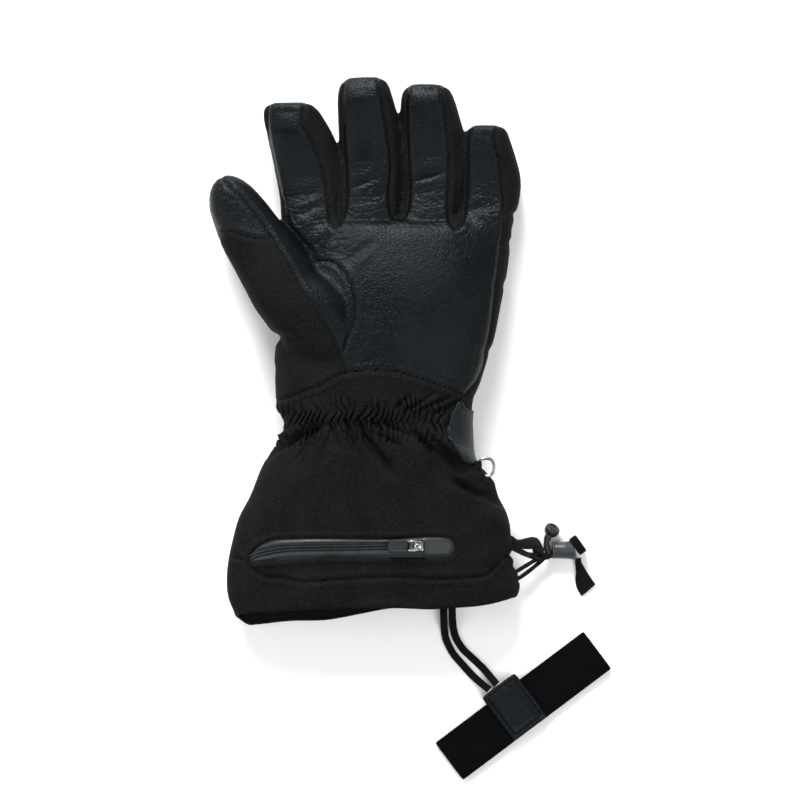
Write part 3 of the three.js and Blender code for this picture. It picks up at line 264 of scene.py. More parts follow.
class Finish:
    def __init__(self, name):
        self.material = bpy.data.materials.new(name)
        self.material.use_nodes = True
        self.tree = self.material.node_tree
        self.shader = self.tree.nodes["Principled BSDF"]

    def node(self, kind, settings=None, sockets=None, output=0):
        made = self.tree.nodes.new(kind)
        for key, value in (settings or {}).items():
            if key == "stops":
                ramp = made.color_ramp
                while len(ramp.elements) < len(value):
                    ramp.elements.new(0.5)
                for element, (position, colour) in zip(ramp.elements, value):
                    element.position = position
                    element.color = (*colour, 1)
            else:
                setattr(made, key, value)
        for key, value in (sockets or {}).items():
            self.feed(made.inputs[key], value)
        return Value(self, made.outputs[output])

    def feed(self, socket, value):
        if isinstance(value, Value):
            self.tree.links.new(value.socket, socket)
        else:
            socket.default_value = value

    def set(self, sockets):
        for key, value in sockets.items():
            self.feed(self.shader.inputs[key], value)
        return self

    def place(self):
        return self.node("ShaderNodeTexCoord", output="Object")

    def stretched(self, scale, turn=0.0):
        return self.node("ShaderNodeMapping", {}, {"Vector": self.place(), "Scale": scale,
                                                   "Rotation": (0, 0, turn)})

    def noise(self, scale, detail=3.0, vector=None, roughness=0.5):
        return self.node("ShaderNodeTexNoise", {}, {
            "Vector": vector or self.place(), "Scale": scale, "Detail": detail, "Roughness": roughness})

    def bands(self, way, vector, scale, distortion, fineScale=1.0):
        return self.node("ShaderNodeTexWave", {"bands_direction": way}, {
            "Vector": vector, "Scale": scale, "Distortion": distortion, "Detail": 1.0,
            "Detail Scale": fineScale})

    def between(self, factor, low, high):
        return self.node("ShaderNodeMix", {"data_type": "RGBA"}, {0: factor, 6: (*low, 1), 7: (*high, 1)},
                         2)

    def ranged(self, value, low, high, first, last):
        return self.node("ShaderNodeMapRange", {"interpolation_type": "SMOOTHSTEP"}, {
            0: value, 1: low, 2: high, 3: first, 4: last})

    def bump(self, height, strength, distance, under=None):
        sockets = {"Height": height, "Strength": strength, "Distance": distance}
        if under is not None:
            sockets["Normal"] = under
        return self.node("ShaderNodeBump", {}, sockets)


leatherLook = {
    "dark": (0.0007, 0.0010, 0.0012), "light": (0.0032, 0.0046, 0.0056), "pebble": 700, "fine": 1800,
    "roughLow": 0.3, "roughHigh": 0.46, "bump": 1.0, "bumpDepth": 0.00032, "gloss": 0.135,
    "tint": (0.82, 0.95, 1.0, 1.0),
}


def makeLeather(name, look):
    # cells of a Voronoi pattern, warped by noise, are the pebbles; their edges are the pores between, which
    # the base colour paints darker as painted shade, with the pebble tops painted lighter as a painted
    # highlight
    f = Finish(name)
    warp = f.noise(260, 2)
    place = f.node("ShaderNodeMix", {"data_type": "VECTOR"}, {0: 0.0022, 4: f.place(), 5: f.node(
        "ShaderNodeTexNoise", {}, {"Vector": f.place(), "Scale": 240.0, "Detail": 2.0}, "Color")}, 1)
    pebble = f.node("ShaderNodeTexVoronoi", {"feature": "SMOOTH_F1"}, {
        "Vector": place, "Scale": look["pebble"], "Smoothness": 0.35})
    fine = f.node("ShaderNodeTexVoronoi", {"feature": "F1"}, {"Vector": place, "Scale": look["fine"]})
    patchy = f.noise(26, 3)
    broad = f.noise(9, 2)
    height = (1 - pebble) * 0.8 + (1 - fine) * 0.25
    worn = f.ranged(patchy + broad * 0.4, 0.45, 0.95, 0.0, 1.0)
    # tone follows the pebbles' height: painted shade in the pores and a painted highlight on the pebble tops,
    # mixed with random patchy tone
    tone = f.ranged(height + patchy * 0.35, 0.45, 1.15, 0.0, 1.0)
    rough = f.ranged(patchy, 0.3, 0.7, look["roughLow"], look["roughHigh"]) + (pebble * 0.1)
    fold = f.bump(f.noise(70, 4, f.stretched((1.0, 2.4, 1.0))), 0.18, 0.0009)
    f.set({
        "Base Color": f.between(tone * 0.75 + worn * 0.25, look["dark"], look["light"]),
        "Roughness": rough,
        "Specular IOR Level": look["gloss"],
        "Specular Tint": look["tint"],
        "Normal": f.bump(height + warp * 0.1, look["bump"], look["bumpDepth"], fold),
    })
    return f.material


clothLook = {"dark": (0.0014, 0.0013, 0.0014), "light": (0.0072, 0.0067, 0.0069), "yarn": 2600, "bump": 0.5}


def makeCloth(name, look):
    # two crossing rows of yarns, sin(x) and sin(y) of a fine scale, under a soft patchy tone
    f = Finish(name)
    warp, weft = (f.bands(way, f.place(), look["yarn"] / 10, 1.2, 2.0) for way in "XY")
    weave = warp.math("MAXIMUM", weft)
    patchy = f.noise(45, 4)
    lint = f.noise(700, 2)
    tone = f.ranged(patchy * 0.45 + lint * 0.55, 0.32, 0.68, 0.0, 1.0)
    soft = f.bump(f.noise(120, 3), 0.16, 0.0007)
    f.set({
        "Base Color": f.between(tone, look["dark"], look["light"]),
        "Roughness": f.ranged(patchy, 0.3, 0.7, 0.72, 0.86),
        "Specular IOR Level": 0.075,
        "Normal": f.bump(weave + lint * 0.6, look["bump"], 0.00008, soft),
    })
    return f.material


def makePlain(name, colour, rough, metal=0.0, grain=900, bump=0.1, spread=0.25, gloss=0.5):
    # one colour with a fine grain and small changes of tone and gloss
    f = Finish(name)
    patchy = f.noise(90, 4)
    fine = f.noise(grain, 3)
    low = tuple(c * (1 - spread) for c in colour)
    high = tuple(min(c * (1 + spread), 1) for c in colour)
    f.set({
        "Base Color": f.between(f.ranged(patchy, 0.3, 0.7, 0, 1), low, high),
        "Roughness": f.ranged(patchy + fine * 0.4, 0.45, 0.95, rough * 0.8, rough * 1.2),
        "Metallic": metal,
        "Specular IOR Level": gloss,
        "Normal": f.bump(fine, bump, 0.0001),
    })
    return f.material


def makeRibbed(name, colour, rough, pitch, turn, bump=0.6, gloss=0.16):
    # ribs across a woven tape: sin of the distance along it, crossed by finer yarns; the colour follows the
    # ribs as painted shade between them and a painted highlight on their crests
    f = Finish(name)
    along = f.bands("X", f.stretched((1, 1, 1), turn), pitch, 0.4)
    across = f.bands("Y", f.stretched((1, 1, 1), turn), pitch * 0.55, 0.5)
    patchy = f.noise(60, 3)
    low = tuple(c * 0.7 for c in colour)
    high = tuple(c * 1.35 for c in colour)
    f.set({
        # base colour: random patchy tone, plus painted shade between the ribs and a painted highlight on their
        # crests from the rib wave
        "Base Color": f.between(f.ranged(patchy * 0.6 + along * 0.4, 0.2, 0.8, 0, 1), low, high),
        "Roughness": rough,
        "Specular IOR Level": gloss,
        "Normal": f.bump(along + across * 0.5, bump, 0.00016),
    })
    return f.material


makeStage()
leather = makeLeather("pebbledLeather", leatherLook)
patchLeather = makeLeather("patchLeather", {**leatherLook, "light": (0.0062, 0.0098, 0.0108),
                                            "gloss": 0.18})
cloth = makeCloth("softshell", clothLook)
rubber = makePlain("coatedTape", (0.0135, 0.0185, 0.0200), 0.42, bump=0.05, spread=0.12, gloss=0.26)
tabRubber = makePlain("pullRubber", (0.0115, 0.0158, 0.0172), 0.46, bump=0.1, spread=0.12, gloss=0.22)
coilPlastic = makePlain("zipCoil", (0.0105, 0.0145, 0.0158), 0.36, spread=0.15, gloss=0.3)
darkMetal = makePlain("darkNickel", (0.16, 0.165, 0.17), 0.3, 1.0, grain=1600, bump=0.05)
ringMetal = makePlain("ringNickel", (0.24, 0.25, 0.255), 0.24, 1.0, grain=1600, bump=0.04)
silver = makePlain("brightNickel", (0.34, 0.35, 0.36), 0.26, 1.0, grain=1600, bump=0.03)
webbing = makeRibbed("blackWebbing", (0.0028, 0.0028, 0.003), 0.75, 260, 0.3, gloss=0.09)
ribbonCloth = makeRibbed("slateRibbon", (0.0085, 0.0108, 0.0114), 0.6, 420, 0.35, 0.3, gloss=0.14)
cordCloth = makeRibbed("braidedCord", (0.0036, 0.0036, 0.0039), 0.7, 330, 0.9, gloss=0.1)
lockPlastic = makePlain("mouldedPlastic", (0.024, 0.03, 0.0325), 0.38, grain=1300, gloss=0.38)
knobPlastic = makePlain("knobPlastic", (0.0065, 0.0068, 0.0072), 0.42, grain=1300, gloss=0.36)
elastic = makeRibbed("ribbedElastic", (0.0016, 0.0017, 0.0022), 0.85, 190, -0.6435, 0.35, gloss=0.035)
thread = makePlain("sewingThread", (0.0026, 0.0028, 0.003), 0.65, grain=2200, bump=0.2, gloss=0.2)
print("stage and finishes done")


# cords
sizes = {
    "drawcord": 2.6, "leashWidth": 4.6, "leashThick": 1.7, "bandWidth": 28.8, "bandLength": 116,
    "bandLayer": 1.7, "bandGap": 1.0, "tabThick": 2.4,
}

lock = np.array([106.36, -125.0, 5.7])        # inner end of the cord lock
leashStart = np.array([40.76, -162.8, 0.0])   # between the two strands, at the hem
bandPlace = np.array([88.36, -222.3, 0.0])
bandTurn = 0.6446

drawcordRoutes = {
    "drawcordUpper": [(-25, -14.5, 7), (-20, -11.5, 6), (-15, -8.6, 4), (-10, -5.8, 2.6), (-5, -3.8, 1.6),
                      (-0.4, -3.4, 1.5), (4, -3.0, 1.5)],
    "drawcordLower": [(-24, -19, 6), (-19, -16, 5), (-13.5, -12, 3.4), (-8.5, -8, 1), (-4, -4.4, -1.2),
                      (-0.4, -3.4, -1.5), (4, -3.0, -1.5)],
}
insideLay, groundLay, tabLay = 5.39, 1.1, 6.0
leashRoutes = {
    "leashStrandA": [(-2.5, 13.6, insideLay), (-2.2, 3.7, insideLay), (-2, -5, insideLay),
                     (-1.6, -12, groundLay + 0.4), (-0.4, -18.4, groundLay), (3.7, -26.7, groundLay),
                     (9.9, -34.1, groundLay), (16.1, -40.9, groundLay + 0.2), (21.4, -45.4, tabLay * 0.7),
                     (26.2, -49.2, tabLay)],
    "leashStrandB": [(2.8, 13.6, insideLay), (3.1, 3.7, insideLay), (3.4, -5, insideLay),
                     (4, -11, groundLay + 0.4), (5.6, -17, groundLay), (9.8, -24, groundLay),
                     (15.8, -29.8, groundLay), (22.3, -36, groundLay + 0.2), (26.8, -41, tabLay * 0.7),
                     (30.9, -45.8, tabLay)],
}


def makeDrawcord(name, route):
    # a circle of twelve sides carried along the smooth route, with a faint twist of its braid
    line = smoothLine(np.array(route) + lock, 60)
    a = np.linspace(0, 2 * math.pi, 12, endpoint=False)
    turn = np.arange(len(line))[:, None] * 0.35
    radius = sizes["drawcord"] / 2 * (1 + 0.035 * np.cos(6 * a[None] + turn))
    rings = carried(line, roundProfile(1, 1, 12) * 2)
    rings = line[:, None] + (rings - line[:, None]) * radius[:, :, None]
    return putMesh(name, *closedGrid(rings)), line


def makeStrand(name, route):
    # a flat rounded strap carried level along the smooth route, its edges a little thinner
    line = smoothLine(np.array(route) + leashStart, 90)
    way = unit(np.gradient(line, axis=0))
    side = unit(np.stack([way[:, 1], -way[:, 0], way[:, 0] * 0], -1))
    rise = unit(np.cross(side, way))
    profile = roundProfile(sizes["leashWidth"], sizes["leashThick"], 16, 3.2)
    rings = line[:, None] + side[:, None] * profile[None, :, :1] + rise[:, None] * profile[None, :, 1:]
    return putMesh(name, *closedGrid(rings)), line


drawcords = {name: makeDrawcord(name, route) for name, route in drawcordRoutes.items()}
strands = {name: makeStrand(name, route) for name, route in leashRoutes.items()}
dress(drawcords["drawcordUpper"][0], cordCloth, stands=["drawcord_upper"])
dress(drawcords["drawcordLower"][0], cordCloth, stands=["drawcord_lower"])
dress(strands["leashStrandA"][0], webbing, stands=["leash_strand_a"])
dress(strands["leashStrandB"][0], webbing, stands=["leash_strand_b"])


def turnedAt(points, angle, place):
    # turned about z by an angle, then moved to a place
    c, s = math.cos(angle), math.sin(angle)
    turned = points @ np.array([[c, s, 0], [-s, c, 0], [0, 0, 1]])
    return turned + place


def makeBand():
    # a flat loop: a rounded strip section carried round a long narrow ring, its layers pressed together
    layer, gap = sizes["bandLayer"], sizes["bandGap"]
    half = sizes["bandLength"] / 2 - layer / 2
    rise = (gap + layer) / 2
    t = np.linspace(-1, 1, 60)
    bulge = 0.25 * np.cos(t * math.pi / 2)
    top = np.stack([t * (half - rise), t * 0, rise + bulge - 0.25], -1)
    a = np.linspace(0, math.pi, 12)[1:-1]
    right = np.stack([(half - rise) + rise * np.sin(a), a * 0, rise * np.cos(a)], -1)
    bottom = np.stack([-t * (half - rise), t * 0, -rise + t * 0], -1)
    left = np.stack([-(half - rise) - rise * np.sin(a), a * 0, -rise * np.cos(a)], -1)
    ring = np.concatenate([top, right, bottom, left])
    way = unit(np.roll(ring, -1, 0) - np.roll(ring, 1, 0))
    out = unit(np.cross(way, (0, 1, 0)))
    profile = roundProfile(sizes["bandWidth"], layer, 28, 6)
    rows = ring[:, None] + np.array([0, 1, 0]) * profile[None, :, :1] + out[:, None] * profile[None, :, 1:]
    count = len(ring)
    points = rows.reshape(-1, 3)
    quads = gridFaces(count + 1, 28)
    points[:, 2] += rise + layer / 2 + 0.1
    return putMesh("wristLoopBand", turnedAt(points, bandTurn, bandPlace), triangles(quads % (count * 28)))


def softPlate(width, length, thick, corner, steps, crown):
    # a rounded cushion-edged plate: height is thick/2 * (1 - |u|^n - |v|^n) near its edge, both sides
    u = np.linspace(-1, 1, steps[0])
    v = np.linspace(-1, 1, steps[1])
    u, v = np.meshgrid(u, v, indexing="ij")
    squash = 1 - corner * (np.abs(u * v) ** 6)
    x, y = u * width / 2 * squash, v * length / 2 * squash
    rim = (1 - np.abs(u) ** 14) * (1 - np.abs(v) ** 14)
    z = thick / 2 * (0.25 + 0.75 * np.clip(rim, 0, 1) ** 0.5) + crown * (1 - u ** 2) * (1 - v ** 2)
    return x, y, z


def waves(x, y, scale, seed):
    # smooth uneven field from five crossing sine waves of fixed directions
    total = np.zeros(len(x))
    for k in range(5):
        turn = seed * 1.7 + k * 2.4
        along = x * math.cos(turn) + y * math.sin(turn)
        total += np.sin(along * (0.7 + 0.23 * k) / scale + seed * 3.1 + k)
    return total / 5


tabPlace = {"across": -4.8, "shift": 3.0, "width": 26, "reach": 34, "base": 4.8, "sewnIn": 2.6}


def makeTab():
    # leather tab folded round the band: a cushion-edged sheet over it with stitch grooves near its border
    x, y, z = softPlate(tabPlace["width"], tabPlace["reach"], sizes["tabThick"], 0.04, (70, 90), 0.35)
    inner = np.minimum(tabPlace["width"] / 2 - np.abs(x), tabPlace["reach"] / 2 - np.abs(y))
    groove = 0.75 * np.exp(-((inner - tabPlace["sewnIn"]) / 0.55) ** 2)
    around = np.arctan2(y / tabPlace["reach"], x / tabPlace["width"])
    cross = 0.22 * np.cos(around * 23 + 1.5 * np.cos(around * 5)) * np.exp(-((inner - 1.2) / 1.3) ** 2)
    dent = 0.55 * np.exp(-(((x - 2) / 6) ** 2 + ((y - 3) / 7) ** 2))
    dent -= 0.5 * np.exp(-((inner - 4.2) / 1.3) ** 2)
    dent = dent + 0.35 * waves(x.ravel() + 40, y.ravel(), 3.2, 8.0).reshape(x.shape)
    middle = tabPlace["base"] + sizes["tabThick"] / 2
    x, y = x + tabPlace["across"], y + tabPlace["shift"]
    top = np.stack([x, y, middle + z - groove - cross - dent], -1)
    low = np.stack([x, y, middle - sizes["tabThick"] / 2 + 0 * z], -1)
    points, faces = slab(top, low)
    return putMesh("leashTab", turnedAt(points, bandTurn, bandPlace), faces)


band = dress(makeBand(), elastic, stands=["wrist_loop_band"])
leashTab = dress(makeTab(), leather, stands=["leash_tab"])
print("cords and leash done")


# soft body
gloveOrigin = (-7.17, -162.8)      # left to right middle and the hem's height in the frame
gauntlet = {"length": 131, "width": 181, "height": 49}
palm = {"length": 107, "width": 139, "height": 48}
fingerHeight = 30
thumb = {"length": 124, "width": 44, "height": 35, "across": -0.214, "along": 0.279, "lean": 0.495}

# body sections: along, left, right, bottom, middle, top
gauntletRows = np.array([
    [-0.10, -0.450, 0.440, 0.0, 0.36, 0.80], [0.0, -0.466, 0.462, 0.0, 0.36, 0.816],
    [0.057, -0.483, 0.497, 0.0, 0.36, 0.816], [0.127, -0.49, 0.514, 0.0, 0.36, 0.83],
    [0.236, -0.486, 0.492, 0.0, 0.36, 0.86], [0.349, -0.469, 0.483, 0.0, 0.36, 0.89],
    [0.448, -0.449, 0.473, 0.0, 0.36, 0.92], [0.547, -0.411, 0.438, 0.0, 0.37, 0.94],
    [0.625, -0.389, 0.4, 0.005, 0.375, 0.95], [0.69, -0.37, 0.358, 0.01, 0.38, 0.96],
    [0.755, -0.342, 0.352, 0.03, 0.39, 0.97], [0.825, -0.298, 0.349, 0.05, 0.4, 0.96],
    [0.88, -0.294, 0.347, 0.06, 0.4, 0.95], [0.915, -0.296, 0.347, 0.06, 0.4, 0.96],
    [0.958, -0.318, 0.349, 0.05, 0.4, 0.98], [1.0, -0.322, 0.351, 0.04, 0.4, 1.0]])
palmRows = np.array([
    [0.105, -0.424, 0.491, 0.02, 0.38, 1.05], [0.25, -0.428, 0.527, -0.01, 0.36, 1.05],
    [0.349, -0.415, 0.552, -0.03, 0.36, 1.04], [0.483, -0.384, 0.573, -0.04, 0.35, 1.02],
    [0.686, -0.357, 0.603, -0.04, 0.34, 0.97], [0.872, -0.353, 0.623, -0.03, 0.34, 0.88],
    [1.0, -0.362, 0.629, 0.0, 0.36, 0.78], [1.06, -0.33, 0.59, 0.12, 0.38, 0.62]])
gauntletScale = np.array([1, gauntlet["width"], gauntlet["width"], gauntlet["height"], gauntlet["height"],
                          gauntlet["height"]])
palmScale = np.array([1, palm["width"], palm["width"], palm["height"], palm["height"], palm["height"]])
pastGauntlet = np.array([1, 0, 0, 0, 0, 0])      # the palm's shares along follow the gauntlet's
bodyRows = np.concatenate([gauntletRows * gauntletScale, palmRows * palmScale + pastGauntlet])

# fingers: place across, length, width, and rows along, shift, half
fingers = {
    "index": {"across": -0.263, "length": 77.5, "width": 41.5, "rows": [
        [-0.3, 0.045, 0.44], [0.0, 0.03, 0.475], [0.23, 0.03, 0.495], [0.44, -0.02, 0.513],
        [0.7, -0.143, 0.5], [0.88, -0.267, 0.446], [0.965, -0.315, 0.372], [1.0, -0.33, 0.24]]},
    "middle": {"across": -0.009, "length": 93.5, "width": 39, "rows": [
        [-0.26, 0.0, 0.45], [0.0, 0.0, 0.492], [0.22, 0.045, 0.497], [0.4, 0.07, 0.5], [0.57, 0.045, 0.494],
        [0.7, 0.016, 0.48], [0.88, -0.052, 0.43], [0.965, -0.06, 0.36], [1.0, -0.065, 0.23]]},
    "ring": {"across": 0.255, "length": 89, "width": 39, "rows": [
        [-0.27, -0.02, 0.44], [0.0, 0.0, 0.468], [0.25, 0.115, 0.485], [0.42, 0.125, 0.495],
        [0.63, 0.1, 0.49], [0.79, 0.045, 0.46], [0.9, 0.01, 0.42], [0.97, -0.005, 0.345],
        [1.0, -0.015, 0.22]]},
    "little": {"across": 0.508, "length": 63.5, "width": 36, "rows": [
        [-0.36, -0.09, 0.45], [0.0, -0.01, 0.492], [0.24, 0.1, 0.5], [0.46, 0.14, 0.5], [0.7, 0.1, 0.45],
        [0.86, 0.06, 0.4], [0.96, 0.05, 0.33], [1.0, 0.045, 0.2]]},
}
# depth of every finger: along, bottom, middle, top
fingerDepths = np.array([
    [-0.36, 0.1, 0.48, 0.95], [0.0, 0.03, 0.48, 1.08], [0.25, -0.02, 0.46, 1.0], [0.5, -0.01, 0.48, 1.0],
    [0.72, 0.06, 0.53, 1.06], [0.88, 0.18, 0.64, 1.12], [0.965, 0.34, 0.72, 1.1], [1.0, 0.5, 0.76, 1.0]])
# thumb: along, outer, inner, bottom, middle, top
thumbRows = np.array([
    [-0.08, 0.1, 0.42, 0.3, 0.8, 1.38], [0.0, 0.3, 0.62, 0.2, 0.8, 1.47],
    [0.15, 0.44, 0.74, 0.1, 0.8, 1.54], [0.26, 0.5, 0.66, 0.12, 0.8, 1.56],
    [0.36, 0.536, 0.5, 0.22, 0.82, 1.54], [0.47, 0.534, 0.46, 0.32, 0.86, 1.5],
    [0.58, 0.532, 0.42, 0.38, 0.88, 1.44], [0.68, 0.532, 0.358, 0.4, 0.88, 1.4],
    [0.8, 0.49, 0.3, 0.42, 0.88, 1.36], [0.9, 0.42, 0.23, 0.46, 0.9, 1.32],
    [0.97, 0.3, 0.12, 0.55, 0.92, 1.24], [1.0, 0.18, 0.02, 0.7, 0.95, 1.14]])
sideSeamRows = np.array([[-0.2, 0.36], [0.5, 0.35], [0.95, 0.3], [1.15, 0.2], [2.0, 0.25], [2.5, 0.3],
                         [3.1, 0.4]])


def sample(rows, along):
    # cubic Hermite value of every column at each share, slopes from the neighbouring rows
    rows = np.asarray(rows, float)
    t = np.clip(np.asarray(along, float), rows[0, 0], rows[-1, 0])
    i = np.clip(np.searchsorted(rows[:, 0], t, side="right") - 1, 0, len(rows) - 2)
    before, after = np.maximum(i - 1, 0), np.minimum(i + 2, len(rows) - 1)
    a, b = rows[i], rows[i + 1]
    span = (b[..., 0] - a[..., 0])[..., None]
    s = ((t - a[..., 0])[..., None]) / span
    slope = lambda p, q: (q - p) / np.maximum((q - p)[..., :1], 1e-6)
    inner, outer = slope(rows[before], b) * span, slope(a, rows[after]) * span
    rise = b - a
    return (a + s * (inner + s * (3 * rise - 2 * inner - outer + s * (inner + outer - 2 * rise))))[..., 1:]


def lengthwise(along):
    # y of a share along the glove: 0 hem, 1 wrist, 2 finger roots
    along = np.asarray(along, float)
    cuff, hand = gauntlet["length"], palm["length"]
    return gloveOrigin[1] + np.where(along <= 1, along * cuff, cuff + (along - 1) * hand)


def alongOf(y):
    # share along the glove of a y, the inverse of lengthwise
    up = y - gloveOrigin[1]
    cuff, hand = gauntlet["length"], palm["length"]
    return np.where(up <= cuff, up / cuff, 1 + (up - cuff) / hand)


def acrossOf(x, y):
    # share across the body, -1 at its left edge and 1 at its right
    row = sample(bodyRows, alongOf(y))
    return (x - gloveOrigin[0] - (row[..., 0] + row[..., 1]) / 2) / ((row[..., 1] - row[..., 0]) / 2)


def onBody(across, along):
    # x and y of shares across and along the body
    row = sample(bodyRows, along)
    left, right = row[..., 0], row[..., 1]
    return np.stack([gloveOrigin[0] + (left + right) / 2 + across * (right - left) / 2, lengthwise(along)], -1)


def sectionRings(left, right, bottom, middle, top, sides, crown=2.5, rest=3.2):
    # rings of a rounded flat section: |across|^power + |rise|^power = 1, squarer where it rests
    a = np.linspace(0, 2 * math.pi, sides, endpoint=False)
    across = np.cos(a)[None]
    upper = (np.sin(a) >= 0)[None]
    power = np.where(upper, crown, rest)
    rise = np.maximum(1 - np.abs(across) ** power, 0) ** (1 / power)
    height = np.where(upper, (top - middle)[:, None], (bottom - middle)[:, None])
    z = middle[:, None] + rise * height
    x = ((left + right) / 2)[:, None] + across * ((right - left) / 2)[:, None]
    return x, np.maximum(z, 0)


def bodyLoft():
    # rings of the cuff and palm sections, in even steps of their share along
    along = np.concatenate([np.linspace(-0.09, 1, 60), np.linspace(1.02, 2.06, 50)])
    row = sample(bodyRows, along)
    x, z = sectionRings(row[:, 0], row[:, 1], row[:, 2], row[:, 3], row[:, 4], 120)
    y = np.broadcast_to(lengthwise(along)[:, None], x.shape)
    return closedGrid(np.stack([x + gloveOrigin[0], y, z], -1)[:, ::-1])


def fingerLoft(finger):
    # rings about the finger's bent middle line, closer towards its tip
    along = np.concatenate([np.linspace(-0.3, 0.9, 40), np.linspace(0.91, 1.0, 12)])
    row = sample(finger["rows"], along)
    depth = sample(fingerDepths, along) * fingerHeight
    centre = finger["across"] * palm["width"] + row[:, 0] * finger["width"]
    half = row[:, 1] * finger["width"]
    x, z = sectionRings(centre - half, centre + half, depth[:, 0], depth[:, 1], depth[:, 2], 64, 2.9, 2.9)
    y = gloveOrigin[1] + gauntlet["length"] + palm["length"] + along * finger["length"]
    return closedGrid(np.stack([x + gloveOrigin[0], np.broadcast_to(y[:, None], x.shape), z], -1)[:, ::-1])


def onThumb(across, along):
    # x and y on the leaning thumb: start + way t length + side across
    start = np.array([gloveOrigin[0] + thumb["across"] * palm["width"],
                      gloveOrigin[1] + gauntlet["length"] + thumb["along"] * palm["length"]])
    way = np.array([-math.sin(thumb["lean"]), math.cos(thumb["lean"])])
    side = np.array([math.cos(thumb["lean"]), math.sin(thumb["lean"])])
    return start + way * (along * thumb["length"])[..., None] + side * across[..., None]


def thumbLoft():
    # rings across the leaning thumb
    along = np.linspace(-0.08, 1.0, 56)
    row = sample(thumbRows, along) * np.array([thumb["width"]] * 2 + [thumb["height"]] * 3)
    x, z = sectionRings(-row[:, 0], row[:, 1], row[:, 2], row[:, 3], row[:, 4], 64)
    flat = onThumb(x, np.broadcast_to(along[:, None], x.shape))
    return closedGrid(np.concatenate([flat, z[..., None]], -1)[:, ::-1])


skinLook = {"voxel": 1.15, "smooth": 10}


def mergedSurfaces(parts, voxel):
    # the union of closed surfaces, as an even mesh of quads
    shift = np.cumsum([0] + [len(points) for points, _ in parts[:-1]])
    points = np.concatenate([points for points, _ in parts])
    faces = np.concatenate([faces + s for (_, faces), s in zip(parts, shift)])
    raw = putMesh("softRaw", points, faces)
    modify(raw, "REMESH", mode="VOXEL", voxel_size=voxel * millimetre)
    points, faces = arraysOf(raw)
    bpy.data.objects.remove(raw)
    return points, faces


def edgesOf(faces):
    # each edge of the triangles once
    edges = np.concatenate([faces[:, [0, 1]], faces[:, [1, 2]], faces[:, [2, 0]]])
    return np.unique(np.sort(edges, 1), axis=0)


def smoothed(points, edges, rounds, share=0.5):
    # every point moves towards the mean of its neighbours
    a, b = edges[:, 0], edges[:, 1]
    count = np.bincount(a, minlength=len(points)) + np.bincount(b, minlength=len(points))
    count = np.maximum(count, 1)[:, None]
    for _ in range(rounds):
        total = np.stack([np.bincount(a, column[b], len(points)) + np.bincount(b, column[a], len(points))
                          for column in points.T], -1)
        points = points + share * (total / count - points)
    return points


def normalsOf(points, faces):
    # unit sum of the cross products of the triangles round each point
    corner = points[faces]
    flat = np.cross(corner[:, 1] - corner[:, 0], corner[:, 2] - corner[:, 0])
    total = np.stack([sum(np.bincount(faces[:, j], flat[:, k],
                                      len(points)) for j in range(3)) for k in range(3)], -1)
    return unit(total)


parts = [bodyLoft(), thumbLoft()] + [fingerLoft(f) for f in fingers.values()]
skin, skinFaces = mergedSurfaces(parts, skinLook["voxel"])
skinEdges = edgesOf(skinFaces)
skin = smoothed(skin, skinEdges, skinLook["smooth"])
print("soft body", len(skin), "points", len(skinFaces), "triangles")


